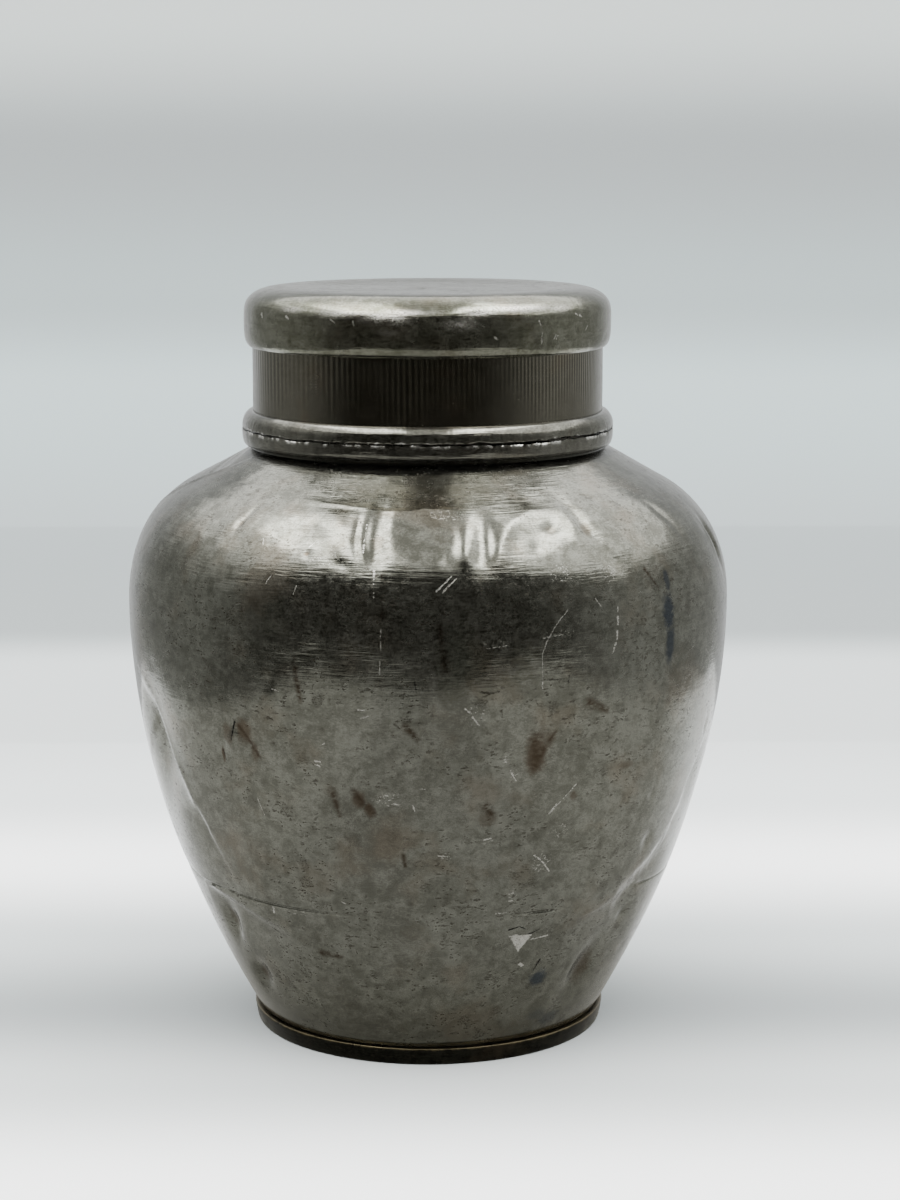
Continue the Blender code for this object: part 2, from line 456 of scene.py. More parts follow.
def make_stroke_group():
    """Mask of a tapered stroke in space, from A along Run, with a half width at each end."""
    g, (point, start, run, wide, narrow, core), result = mask_group("stroke", {
        "Point": "Vector", "A": "Vector", "Run": "Vector",
        "Start": "Float", "End": "Float", "Core": "Float"})
    offset = g.vector("SUBTRACT", point, start)
    along = g.vector("DOT_PRODUCT", offset, run, out=1) / g.vector("DOT_PRODUCT", run, run, out=1)
    held = g.math("MINIMUM", g.math("MAXIMUM", along, 0.0), 1.0)
    nearest = g.value("ShaderNodeVectorMath", {0: run, "Scale": held}, operation="SCALE")
    gap = g.vector("DISTANCE", offset, nearest, out=1)
    g.link(g.ramp(gap / (wide + held * (narrow - wide)), 1.0, core), result)
    return g.tree


def make_blot_group():
    """Mask of a soft oval blot in space, broken up at its edge by a roughening value."""
    g, (point, centre, size, broken), result = mask_group("blot", {
        "Point": "Vector", "Centre": "Vector", "Size": "Vector", "Broken": "Float"})
    far = g.vector("LENGTH", g.vector("DIVIDE", g.vector("SUBTRACT", point, centre), size), out=1)
    g.link(g.ramp(far + broken, 1.15, 0.45), result)
    return g.tree


STROKE = make_stroke_group()
BLOT = make_blot_group()


def strokes(g, point, lines, core=0.45):
    """Mask of all the strokes: each is (start, end, half width at start, at end) in mm.

    The mask is full from the middle out to that share of the width which core gives.
    """
    return g.strongest([g.value("ShaderNodeGroup", {
        "Point": point, "A": start, "Run": tuple(b - a for a, b in zip(start, end)),
        "Start": wide, "End": narrow, "Core": core}, node_tree=STROKE)
        for start, end, wide, narrow in lines])


def blots(g, point, broken, spots):
    """Mask of all the blots: each is (centre, half width, half height, strength) in mm."""
    return g.strongest([g.value("ShaderNodeGroup", {
        "Point": point, "Broken": broken, "Centre": centre, "Size": (width, width, height)},
        node_tree=BLOT) * strength for centre, width, height, strength in spots])


# Dirt in the hollows of the chatter marks, and painted shade towards the foot of the body.
DIRT_AND_PAINTED_SHADE = (0.035, 0.034, 0.027)
COLLAR_SHADE = (0.016, 0.016, 0.013)
TARNISH = (0.150, 0.115, 0.078)
PIT_DIRT = (0.040, 0.035, 0.027)
RIB_CREST = (0.250, 0.238, 0.195)
BROWN_STAIN = (0.058, 0.042, 0.027)
BROWN_SMEAR = (0.042, 0.031, 0.020)
BLUE_STAIN = (0.030, 0.038, 0.050)
CRACK_DARK = (0.008, 0.008, 0.007)
SHARP_LINES_FROM, SHARP_LINES_TO = 76.0, 92.0  # heights in mm
# Heights in mm where the painted shade towards the foot is full and where it ends.
FOOT_PAINTED_SHADE_LOW, FOOT_PAINTED_SHADE_HIGH = 3.0, 15.0
# Heights in mm where the painted shade under the collar starts and where it is full.
COLLAR_PAINTED_SHADE_LOW, COLLAR_PAINTED_SHADE_HIGH = 116.6, 117.6
BUMP_HEIGHT = 0.00002


def pewter(name, dark=(0.098, 0.098, 0.081), light=(0.186, 0.187, 0.162), rough=(0.11, 0.19),
           bare_colour=(0.50, 0.49, 0.455), metallic=0.975, turning=0.5, pitting=0.6, mottle=1.0,
           brown=0.3, painted_shade_and_faint_lines=False, wear=None, ribs=None, band=None, lines=(), chips=(), specks=(),
           stains=(), smears=(), blues=(), cracks=()):
    """Worn pewter: patina in blotches, turning lines, pits, stains, scuffs and scratches, and if
    asked painted shade towards the foot and under the collar.

    wear and ribs name attributes of the mesh. band is a stain at an edge, as the heights where
    it starts and is full, how far it wanders, and its colour. lines, chips, smears and cracks
    are strokes; specks, stains and blues are blots.
    """
    material, g, shader = new_material(name)
    point = g.vector("MULTIPLY", g.place(), (1.0 / MM,) * 3)
    height_mm = g.parts(point)[2]
    ring_place = g.vector("ADD", g.stretch(point, 0.09, 0.09, 0.0),
                          g.value("ShaderNodeCombineXYZ", {"Z": g.attribute("arc")}))
    coarse_lines = g.noise(ring_place, 1.0, 2.0, 0.7)
    fine_lines = g.noise(ring_place, 3.0, 2.0, 0.6)
    clouds = g.noise(point, 0.055, 4.0, 0.6)
    blotches = g.noise(point, 0.34, 4.0, 0.72, 0.4)
    flat_point = g.stretch(point, 1.0, 1.0, 2.2)
    grain = g.noise(flat_point, 1.9, 4.0, 0.75)
    flecks = g.noise(flat_point, 2.1, 2.0, 0.6)
    smuts = g.noise(flat_point, 0.75, 3.0, 0.7)
    broken = g.noise(point, 0.9, 3.0, 0.7) * 1.1 - 0.55
    bent = g.vector("ADD", point, g.stray(point, 2.5, (0.45, 0.45, 0.45)))
    loose = g.vector("ADD", bent, g.stray(point, 0.8, (1.7, 1.7, 1.2)))

    kept = g.ramp(g.noise(point, 0.11, 2.0, 0.5), 0.38, 0.62, turning * 0.9, turning * 2.4)
    if painted_shade_and_faint_lines:
        kept = kept * g.ramp(height_mm, SHARP_LINES_FROM, SHARP_LINES_TO, 0.25, 1.0)
    tone = (clouds * 0.45 + blotches * 0.85 + grain * 0.9 - 1.1) * mottle + 0.5
    tone = tone + (fine_lines * 0.6 + coarse_lines * 0.4 - 0.5) * kept
    colour = g.mix(g.ramp(tone, 0.1, 0.9), dark, light)
    colour = g.mix(g.ramp(g.noise(point, 0.075, 3.0, 0.6), 0.50, 0.72) * brown, colour, TARNISH)

    small = g.dots(g.stretch(loose, 1.0, 1.0, 1.8), 1.1, 0.6, 0.52) * g.ramp(
        blotches, 0.36, 0.60, 0.2, 0.8)
    large = g.dots(loose, 0.30, 0.45, 0.5) * g.ramp(grain, 0.42, 0.60, 0.0, 0.7)
    dashes = g.ramp(g.noise(g.stretch(bent, 0.55, 0.55, 1.7), 0.9, 4.0, 0.72),
                    0.56, 0.66, 0.0, 0.8)
    crowd = g.ramp(g.noise(point, 0.10, 3.0, 0.6), 0.36, 0.60, 0.25, 1.0)
    pits = g.strongest([small, large, dashes]) * crowd * pitting
    colour = g.mix(pits, colour, PIT_DIRT)

    if ribs:
        colour = g.mix(g.ramp(g.attribute(ribs), 0.30, 1.0, 0.0, 0.60), colour, RIB_CREST)
        colour = g.mix(g.ramp(g.attribute(ribs), 0.60, 0.0, 0.0, 0.45), colour, DIRT_AND_PAINTED_SHADE)
    if stains:
        colour = g.mix(blots(g, point, broken, stains), colour, BROWN_STAIN)
    if smears:
        smeared = strokes(g, point, smears, -0.2) * g.ramp(smuts, 0.36, 0.56, 0.35, 1.0)
        colour = g.mix(smeared, colour, BROWN_SMEAR)
    if cracks:
        colour = g.mix(strokes(g, bent, cracks, 0.3), colour, CRACK_DARK)
    if band:
        start, full, wander, stain = band
        colour = g.mix(g.ramp((blotches - 0.5) * wander + height_mm, start, full), colour, stain)
    if blues:
        colour = g.mix(blots(g, point, broken, blues), colour, BLUE_STAIN)

    bare = []
    if lines:
        bare.append(strokes(g, bent, lines) * g.ramp(flecks, 0.40, 0.52, 0.12, 0.9))
    if specks:
        tiny = g.ramp(g.noise(g.stretch(point, 1.0, 1.0, 1.5), 1.7, 3.0, 0.8), 0.56, 0.64)
        bare.append(tiny * blots(g, point, broken, specks))
    if chips:
        bare.append(strokes(g, bent, chips) * g.ramp(flecks, 0.34, 0.46, 0.35, 1.0))
    if wear:
        bare.append(g.attribute(wear) * g.ramp(grain, 0.32, 0.52))
    bare = g.strongest(bare)
    colour = g.mix(bare, colour, bare_colour)
    if painted_shade_and_faint_lines:
        # Painted shade, darker towards the foot, for the shaded floor that the metal mirrors
        # there, with some dirt.
        colour = g.mix(g.ramp(height_mm, FOOT_PAINTED_SHADE_HIGH, FOOT_PAINTED_SHADE_LOW, 0.0, 0.45), colour, DIRT_AND_PAINTED_SHADE)
        # Painted shade just under the collar, with a wandering edge.
        colour = g.mix(g.ramp((blotches - 0.5) * 0.8 + height_mm, COLLAR_PAINTED_SHADE_LOW,
                              COLLAR_PAINTED_SHADE_HIGH, 0.0, 0.8), colour, COLLAR_SHADE)
    g.link(colour, shader.inputs["Base Color"])

    haze = g.ramp((smuts - 0.5) * 0.6 + grain, 0.36, 0.66, 2.0 * metallic - 1.0, 1.0)
    g.link(haze, shader.inputs["Metallic"])
    dull = g.ramp(blotches * 0.6 + clouds * 0.4, 0.35, 0.65, *rough) + pits * 0.25
    height = (fine_lines * 0.35 + coarse_lines) * kept * 3.2 + grain * 0.05 + blotches * 0.4
    height = height - pits * 0.3
    if isinstance(bare, Value):
        dull = dull + bare * (0.30 - sum(rough) / 2)
        height = height - bare * 0.8
    g.link(dull, shader.inputs["Roughness"])
    g.link(g.value("ShaderNodeBump", {"Height": height, "Strength": 1.0,
                                      "Distance": BUMP_HEIGHT}), shader.inputs["Normal"])
    return material


# ---------------------------------------------------------------- body


def body_outline():
    """Belly, a smooth shoulder, then a straight cone up to the collar."""
    heights = np.linspace(lower_low[2], BELLY_Z, 160)
    depth = (BELLY_Z - heights) / BELLY_RUN
    belly = np.stack([BELLY_RADIUS - BELLY_DRAW * depth ** BELLY_POWER, heights], axis=1)
    cone = (CONE_TOP - SHOULDER_EDGE) / np.linalg.norm(CONE_TOP - SHOULDER_EDGE)
    start = belly[-1]
    low = start + (0.0, SHOULDER_PULLS[0])
    high = SHOULDER_EDGE - cone * SHOULDER_PULLS[1] / cone[1]
    t = np.linspace(0.0, 1.0, 60)[1:, None]
    u = 1.0 - t
    shoulder = u ** 3 * start + 3 * u * u * t * low + 3 * u * t * t * high + t ** 3 * SHOULDER_EDGE
    root = [CONE_TOP, CONE_TOP + (-0.08, 0.12), (CONE_TOP[0] - 0.1, upper_high[2])]
    return np.concatenate([belly, shoulder, root])


body = Skin(body_outline())
seam_s = float(body.s_at(SEAM_Z))

# Shoulder, from the left silhouette round to the right one
body.fold([(-88, 106.5), (-81, 110.9), (-78.3, 112.6), (-73, 114.8)], 5.5, 1.3)
body.ridge([(-88, 106.5), (-81, 110.9), (-78.3, 112.6), (-73, 114.8)], 0.6, 0.25)
body.dent(-52, 108.5, 8.0, 4.5, 0.35)
body.dent(-44.5, 107.6, 2.4, 2.6, -0.16)
body.ridge([(-40.8, 111.0), (-41.6, 108.4), (-42.6, 104.8)], 0.8, -0.20)
body.dent(-35.5, 106.4, 4.0, 3.0, -0.20)
body.dent(-26.8, 107.2, 4.6, 2.6, 0.45, 12)
body.dent(-23.3, 103.9, 0.8, 0.8, 0.16)
body.ridge([(8.0, 111.1), (2.8, 111.5), (-0.5, 111.6), (-6, 111.1), (-12.8, 111.4), (-20, 111.9),
            (-32, 112.4)], 0.6, 0.13)
body.dent(-19.4, 108.6, 3.8, 2.8, -0.38, -35)
body.dent(-16.6, 105.0, 1.5, 2.6, -0.16)
body.ridge([(-14.6, 111.0), (-14.3, 106.5), (-12.9, 101.8)], 0.75, -0.20)
body.flute([(-10.4, 112.4), (-10.3, 106.8), (-9.2, 101.8)], 1.7, 0.42, 0.05, 0.42)
body.dent(0.6, 107.4, 4.8, 3.6, 0.42)
body.dent(6.9, 105.0, 1.4, 3.6, -0.30)
body.flute([(11.5, 110.6), (10.8, 106.0), (10.2, 102.0)], 1.6, 0.44, 0.30, 0.30)
body.ridge([(12.8, 102.8), (14.6, 106.4), (17.6, 109.2), (22.7, 110.7), (31, 110.6)], 1.7, 0.34)
body.dent(22.5, 107.0, 4.2, 2.8, 0.36)
body.dent(25.8, 108.0, 1.7, 1.3, 0.42)
body.dent(30.9, 107.6, 1.8, 2.8, -0.22)
body.flute([(32.2, 112.4), (33.2, 107.6), (35.2, 103.6), (37.4, 100.0)], 1.5, 0.32, 0.22, 0.30)
body.dent(39.5, 105.0, 3.2, 3.2, -0.22)
body.dent(48, 107.0, 6.0, 4.5, 0.40)
body.ridge([(57, 110.0), (59.4, 106), (60.4, 103)], 1.3, -0.16)
body.dent(77, 100.6, 1.6, 4.2, 1.0, 8)
body.ridge([(74.2, 104.6), (74.8, 101.2), (75.2, 97.4)], 1.0, 0.25)

# Left flank
LEFT_CREASE = [(-55.0, 52.0), (-58.2, 59.2), (-60.7, 64.8), (-64.5, 70.6), (-71, 74.5)]
body.fold(LEFT_CREASE, 3.8, 1.7)
body.ridge(LEFT_CREASE, 1.0, 0.28)
body.dent(-66, 61, 5.0, 11.0, 0.9, -14)
body.dent(-50, 45, 9.0, 15.0, 0.6, -16)
body.ridge([(-42.3, 62.8), (-40.5, 68.0), (-38.2, 71.2)], 0.7, -0.22)
body.ridge([(-37.2, 71.2), (-34.4, 67.3), (-32.4, 64.6)], 1.0, -0.30)
body.dent(-37.4, 66.0, 2.6, 4.0, -0.25)
SEAM_FOLD = [(-34, 28.3), (-42.2, 30.1), (-50, 31.9), (-64, 33.9)]
body.fold(SEAM_FOLD, 3.4, 1.2)
body.ridge(SEAM_FOLD, 0.9, 0.22)
body.dent(-57.6, 25.6, 2.2, 3.6, 1.1, -12)
body.ridge([(-56.8, 28.6), (-55.0, 26.0), (-55.2, 23.0)], 0.8, 0.16)
body.dent(-53.0, 15.2, 2.4, 3.4, 1.3, -24)

# Right flank
body.fold([(70.8, 62.0), (68.7, 58.5), (65.8, 54.0), (64, 49.0)], 2.6, 0.9)
body.fold([(60.0, 44.0), (56.0, 40.0), (51.0, 37.2), (47, 36.4)], 3.2, 0.7)
body.fold([(55, 36.4), (48.7, 33.4), (41, 31.6), (33, 30.4)], 4.0, 0.8)
body.dent(45.6, 17.6, 3.4, 6.5, 1.3, -18)
body.dent(53, 25, 7.0, 8.0, 0.6)
body.dent(52.6, 44.5, 1.5, 1.5, 0.35)
body.dent(55.6, 27.4, 1.2, 1.6, 0.35)
body.ridge([(69.0, 67.0), (70.2, 65.4), (69.4, 64.0), (70.8, 62.6)], 0.6, -0.25)
body.ridge([(38.6, 20.6), (37.0, 17.2)], 0.5, -0.15)

# Other sides, which no view of the real one shows: the same kinds of knocks
body.dent(128, 96, 7.0, 5.0, 0.8)
body.fold([(112, 70), (118, 62), (121, 52)], 4.0, 0.8)
body.dent(160, 40, 9.0, 7.0, 0.9)
body.ridge([(171, 108), (173, 104), (175, 99)], 2.0, -0.5)
body.dent(-118, 84, 8.0, 12.0, 0.7, 15)
body.dent(-146, 24, 4.0, 5.0, 0.9)
body.fold([(-160, 109), (-150, 110), (-140, 108)], 3.0, 0.5)
body.dent(-135, 62, 5.0, 3.0, 0.5, 30)

soft_draw = np.random.default_rng(11)
for _ in range(110):
    body.dent(soft_draw.uniform(-180, 180), soft_draw.uniform(6, 112), soft_draw.uniform(2.5, 9),
              soft_draw.uniform(2, 7), soft_draw.uniform(-0.02, 0.055), soft_draw.uniform(-40, 40))
for _ in range(60):
    body.dent(soft_draw.uniform(-62, 75), soft_draw.uniform(100, 112), soft_draw.uniform(0.8, 2.2),
              soft_draw.uniform(0.7, 1.6), soft_draw.uniform(-0.06, 0.11),
              soft_draw.uniform(-40, 40))
for _ in range(70):
    body.dent(soft_draw.uniform(-180, 180), soft_draw.uniform(6, 112), soft_draw.uniform(0.9, 1.6),
              soft_draw.uniform(0.8, 1.4), soft_draw.uniform(0.03, 0.10))
body.reliefs.append(lambda b, s: 0.10 * wave(b, s, 5, reach=4))

# The solder seam: a groove that is open at the sides and filled at the front
SEAM_OPEN = [(-180, 0.4), (-90, 0.9), (-60, 1.0), (-38, 0.9), (-20, 0.45), (-8, 0.08), (12, 0.05),
             (21, 0.5), (27, 1.0), (32, 0.6), (45, 0.5), (60, 0.9), (90, 0.8), (180, 0.4)]
SEAM_DEPTH = 0.32
SEAM_WIDTH = 0.28


def seam_openness(b):
    return np.interp(degrees_of(b), *np.array(SEAM_OPEN).T)


def seam_groove(b, s):
    return -SEAM_DEPTH * seam_openness(b) * bell(s, seam_s, SEAM_WIDTH)


def seam_slip(b, s):
    """The seam's waviness, with the drop where a knock on the right has pulled it down."""
    degrees = degrees_of(b)
    slip = bell(degrees, -60.0, 12.0) - 3.2 * bell(degrees, 43.0, 12.0)
    return (slip + 0.25 * ragged(b, 21, 3, 24)) * bell(s, seam_s, 7.0)


body.reliefs.append(seam_groove)
body.slides.append(seam_slip)

SCRATCHES = [  # bearing and height of each end, then half widths in mm
    (1.5, 98.1, 4.2, 100.7, 0.22, 0.12), (2.6, 98, 5, 100.2, 0.3, 0.1),
    (25.4, 93.9, 23, 91.4, 0.1, 0.12), (23, 91.4, 21.2, 88.5, 0.12, 0.14),
    (21.2, 88.5, 20.3, 86.1, 0.16, 0.1), (20.3, 86.1, 20.5, 79.5, 0.1, 0.08),
    (20.4, 89, 24, 89.4, 0.16, 0.06),
    (35.7, 91.6, 35.7, 90.2, 0.34, 0.26), (35.5, 88.9, 35.5, 87.5, 0.36, 0.24),
    (35.2, 86.7, 34.6, 84.9, 0.34, 0.12), (35.9, 93.4, 35.8, 92.6, 0.22, 0.16),
    (-9.9, 101.6, -9.6, 97, 0.3, 0.08), (-8.2, 91.2, -8.2, 87.4, 0.12, 0.14),
    (-8.4, 85.4, -8.4, 82.8, 0.12, 0.08), (-12.6, 109, -12.3, 104.6, 0.18, 0.22),
    (-18.8, 69.3, -19.2, 69, 0.2, 0.16), (-20.9, 65.7, -20, 65.6, 0.24, 0.2),
    (-20.6, 64.9, -20, 64.6, 0.22, 0.2),
    (-8.2, 59.7, -7.4, 59.5, 0.18, 0.14), (-6.4, 58, -5.8, 57.8, 0.2, 0.14),
    (-2.9, 57.6, -2.5, 56.6, 0.26, 0.14), (-1.6, 61, -0.6, 61, 0.1, 0.08),
    (28.7, 60.1, 23.6, 54.8, 0.12, 0.16), (24.9, 56.6, 23.6, 54.8, 0.2, 0.1),
    (6.4, 76.4, 7.6, 75.5, 0.2, 0.12), (7.8, 74.8, 9, 73.2, 0.26, 0.2),
    (14, 66.3, 14.3, 65.7, 0.26, 0.16), (15.3, 63.6, 16.3, 62, 0.22, 0.12),
    (21.6, 46.4, 23.2, 45.2, 0.2, 0.16), (23.6, 44.9, 25.6, 42.6, 0.26, 0.14),
    (1.8, 47.5, 3.8, 47.2, 0.22, 0.14), (10.8, 50.4, 12.4, 50.8, 0.22, 0.14),
    (-34.6, 56.8, -33.6, 53.4, 0.09, 0.07), (-33.9, 105.8, -33.4, 104.7, 0.12, 0.1),
    (-30.5, 98.4, -29.6, 99.9, 0.14, 0.08), (-23.4, 104.9, -22.2, 106, 0.16, 0.12),
    (-24.6, 96.8, -24.2, 98.4, 0.1, 0.08), (31.2, 95.3, 32.2, 93.8, 0.14, 0.08),
    (10.2, 87.6, 13.8, 88, 0.1, 0.06), (-28.6, 78.8, -27.2, 78.5, 0.16, 0.1),
    (-12.4, 76.1, -11.2, 76, 0.16, 0.12), (-12.2, 74.4, -10.6, 75, 0.08, 0.12),
    (-37.3, 33.2, -37.5, 31.9, 0.26, 0.2), (18.9, 29, 23.4, 28.8, 0.2, 0.16),
    (14.8, 34.2, 17.2, 34.3, 0.16, 0.14), (17.2, 38.5, 18.2, 38.6, 0.18, 0.14),
    (17.4, 36.9, 18, 36.9, 0.26, 0.24), (-18.8, 36.8, -18, 36.5, 0.16, 0.14),
    (150, 70, 158, 64, 0.16, 0.08), (-150, 88, -146, 80, 0.12, 0.08), (110, 92, 111, 86, 0.2, 0.1),
    (178, 52, 184, 56, 0.18, 0.1), (-110, 50, -108, 44, 0.2, 0.1),
]
CHIPS = [  # the same, for bare patches that nothing breaks up
    (20.4, 28.5, 21.9, 25.4, 1.1, 0.2), (23.4, 28.4, 22, 25.9, 0.95, 0.25),
    (19.5, 28.9, 24.4, 28.8, 0.3, 0.24), (23.2, 22.3, 23.8, 22, 0.55, 0.42),
    (21.9, 28.3, 22, 26.2, 0.9, 0.4),
    (24.6, 27.8, 28.9, 28.5, 0.12, 0.2),
]
RUST = [  # bearing, height, half width, half height, strength
    (19.8, 66.8, 2.6, 4.6, 0.75), (21.4, 69.6, 2.4, 2.6, 0.45), (-13, 58.6, 1.5, 2.2, 0.7),
    (-11, 56.4, 1.3, 1.8, 0.75), (-35.6, 70, 2.2, 3, 0.75), (-33.6, 66.2, 0.9, 2.6, 0.6),
    (-39.6, 68.8, 1.6, 2.6, 0.55), (-41.6, 64.6, 0.5, 2.2, 0.9), (-64, 63, 2.4, 4.4, 0.6),
    (-57.8, 26.4, 1.6, 2.4, 0.4), (-53.2, 15.4, 1.4, 2.4, 0.6), (46.5, 18, 2.8, 6, 0.6),
    (11.2, 54.6, 2.2, 1.8, 0.5), (-9.8, 106.4, 1.4, 4.6, 0.35), (33.6, 107.4, 1.3, 2.8, 0.5),
    (25.6, 107.9, 1.4, 1, 0.4), (28.4, 58, 1, 1, 0.6), (40.2, 62.4, 2.8, 0.9, 0.5),
    (-41.8, 107.9, 0.6, 2, 0.5), (-37, 45, 3.4, 4, 0.2), (-23.4, 103.9, 0.7, 0.6, 0.8),
    (140, 50, 4, 7, 0.5), (-100, 80, 3, 5, 0.5), (170, 90, 5, 3, 0.4),
    (-170, 30, 6, 4, 0.5),
]
BLUES = [
    (49.4, 96.8, 1, 3.4, 0.7), (48.8, 91, 2, 4.2, 0.85), (49.4, 84.6, 1.5, 4.6, 0.8),
    (29.6, 18.4, 2.2, 2.4, 0.8), (39.5, 7.4, 3, 1.8, 0.6), (34, 9, 2.6, 1.6, 0.4),
    (100, 60, 2, 6, 0.5),
]
SMEARS = [  # bearing and height of each end, then half widths in mm
    (-36.8, 71, -34.6, 68.2, 0.8, 1.1), (-34.6, 68.2, -32.6, 65, 1.1, 0.7),
    (19.6, 70.2, 19.8, 64.6, 2.6, 2.2), (20.4, 66.4, 23.4, 71, 1.6, 0.7),
    (-13.8, 60, -10.4, 55.8, 1.3, 1.2), (-8.4, 100.9, -7.9, 93, 0.3, 0.6),
    (-4.9, 47.4, -4.6, 45.2, 0.9, 0.6), (-64.2, 68, -62.6, 59, 1.6, 2.2),
    (44, 99.4, 46.6, 95.6, 0.8, 0.4), (-26.8, 24.6, -21.4, 24.2, 1.4, 0.9),
    (10.6, 57.2, 12.2, 55.4, 1.8, 1.6), (-18, 60, -17, 55, 1.6, 0.8),
    (-24, 84, -23, 77, 1.2, 0.8), (2, 92, 3, 84, 1, 1.6),
    (-4, 73, -2, 71, 1.6, 1), (30, 76, 34, 74, 1.8, 1.2),
]
CRACKS = [  # the same, for dark lines that light does not reach into
    (-37.6, 71.4, -38.9, 67.6, 0.3, 0.16), (18.4, 30.4, 21, 31, 0.26, 0.16),
    (21, 31, 22.4, 30.4, 0.16, 0.22), (22.2, 28.8, 24.6, 29.4, 0.22, 0.24),
    (24.6, 29.4, 26.4, 30.2, 0.24, 0.12), (28.6, 22.8, 27.4, 20.2, 0.26, 0.14),
    (25.6, 81.6, 25.4, 80, 0.12, 0.1), (-2.4, 81.6, -2, 79.6, 0.12, 0.1),
    (-41.6, 65.6, -41, 63.4, 0.16, 0.12), (-14, 109.4, -14.2, 102.6, 0.2, 0.14),
]
SPECKS = [  # bearing, height, half width, half height, strength
    (8.4, 75.2, 2.6, 2.4, 0.9), (14.4, 66, 1.4, 1.4, 0.9), (15.6, 63.6, 1.2, 1.2, 0.9),
    (-7, 58.8, 4, 1.6, 0.7), (23.4, 44.6, 2.6, 2.4, 0.8), (3.4, 47.4, 2, 1, 0.8),
    (-20.4, 65.4, 1, 0.8, 0.8), (26.6, 51, 2.4, 2, 0.5), (11.6, 50.2, 1.6, 1, 0.6),
    (18, 38, 1, 2, 0.7), (23, 89.6, 4.4, 0.9, 0.6), (12, 88.4, 3.6, 0.8, 0.5),
    (25, 100.6, 3, 2.4, 0.5), (34.8, 100, 2, 2.4, 0.5), (4, 110.6, 5, 1, 0.5),
    (-20, 104, 5, 3, 0.35), (-30, 33, 3, 0.8, 0.5), (-140, 60, 4, 4, 0.6),
    (150, 84, 5, 3, 0.5), (96, 40, 4, 3, 0.5),
]


def blots_on(skin, marks, low=0.0, high=200.0):
    """Marks with a centre between two heights, as (place, width, height, strength)."""
    return [(skin.spot(b, z), w, h, power) for b, z, w, h, power in marks if low <= z < high]


def strokes_on(skin, marks, low=0.0, high=200.0):
    """Marks with a middle between two heights, as (start, end, width at start, at end)."""
    return [(skin.spot(b1, z1), skin.spot(b2, z2), w1, w2)
            for b1, z1, b2, z2, w1, w2 in marks if low <= (z1 + z2) / 2 < high]


BODY_COLUMNS = 640
BODY_CROWDING = 1.6
NEAR_SEAM = np.array([0.01, 0.10, 0.20, 0.32, 0.48, 0.75])


def make_body_shells():
    """The two sheets of the body, parted at the seam, each closed by its own inside."""
    shoulder_s, neck_s = body.s_at(97.0), body.s_at(113.5)
    upper_s = np.concatenate([
        seam_s + NEAR_SEAM, even(seam_s + 1.2, shoulder_s, 0.98)[:-1],
        even(shoulder_s, neck_s, 0.42), even(neck_s + 0.6, body.s[-1], 0.7)])
    lower_s = np.concatenate([even(0.0, seam_s - 1.2, 0.6), seam_s - NEAR_SEAM[::-1]])
    for name, node, rows, low, high, turning in (
            ("lower_shell", "lower_body", lower_s, 0.0, SEAM_Z, 0.3),
            ("upper_shell", "upper_body", upper_s, SEAM_Z, 200.0, 0.55)):
        r, z, s = skin_rows(body, rows, BODY_COLUMNS, crowding=BODY_CROWDING)
        back = np.linspace(rows[-1], rows[0], 10)
        r_in, z_in, s_in = skin_rows(body, back, BODY_COLUMNS, BODY_WALL, BODY_CROWDING)
        if node == "upper_body":
            r_in = [np.maximum(row, neck_high[0] + 0.1) for row in r_in]
        turned(name, node, BODY_COLUMNS, r + r_in, z + z_in, pewter(
            name, turning=turning, pitting=0.9, mottle=2.1, painted_shade_and_faint_lines=True,
            lines=strokes_on(body, SCRATCHES, low, high), chips=strokes_on(body, CHIPS, low, high),
            specks=blots_on(body, SPECKS, low, high), stains=blots_on(body, RUST, low, high),
            smears=strokes_on(body, SMEARS, low, high), blues=blots_on(body, BLUES, low, high),
            cracks=strokes_on(body, CRACKS, low, high)), {"arc": s + s_in}, BODY_CROWDING)


# ---------------------------------------------------------------- foot and floor


def rounded(corners, radius, steps=4):
    """Outline with each corner replaced by a short curve of about that radius."""
    corners = np.array(corners, float)
    points = []
    for before, corner, after in zip(np.roll(corners, 1, 0), corners, np.roll(corners, -1, 0)):
        into, out = before - corner, after - corner
        reach = min(radius, np.hypot(*into) / 2.2, np.hypot(*out) / 2.2)
        start = corner + into / np.hypot(*into) * reach
        end = corner + out / np.hypot(*out) * reach
        for t in np.linspace(0.0, 1.0, steps):
            points.append((1 - t) ** 2 * start + 2 * t * (1 - t) * corner + t * t * end)
    return np.array(points)


def fill_in(points, pitch):
    """Closed outline with points added so that none are further apart than pitch."""
    result = []
    for start, end in zip(points, np.roll(points, -1, 0)):
        count = max(1, int(np.hypot(*(end - start)) / pitch))
        result.extend(start + (end - start) * k / count for k in range(count))
    return np.array(result)


def plain_ring(name, node, outline, columns, material, uneven):
    """Ring or tube from a closed outline that runs up the outside, and isn't quite round."""
    points = fill_in(outline, 0.8)
    lengths = arc_lengths(points)
    bearings = all_round(columns)
    r = [row_r + uneven * wave(bearings, lengths[i], 3, longest=30.0, reach=9)
         for i, row_r in enumerate(points[:, 0])]
    turned(name, node, columns, r, points[:, 1], material, {"arc": lengths})


FOOT_FLARE = 0.7
FOOT_WIDTH = 2.4


def make_foot():
    """Hoop a little wider at the top, with a worn line of solder along its edge."""
    outer_low, outer_high = foot_high[0] - FOOT_FLARE, foot_high[0]
    inner = outer_low - FOOT_WIDTH
    outline = rounded([(inner, 0.0), (outer_low, 0.0), (outer_low + 0.35, 1.6),
                       (outer_high, foot_high[2]), (inner, foot_high[2])], 0.45, 5)
    plain_ring("foot_hoop", "foot_ring", outline, 720, pewter(
        "foot_hoop", dark=(0.005, 0.005, 0.004), light=(0.026, 0.026, 0.021), rough=(0.26, 0.42),
        turning=0.4, brown=0.2, metallic=0.995,
        band=(foot_high[2] - 0.5, foot_high[2] + 0.1, 1.2, (0.120, 0.100, 0.060))), uneven=0.05)


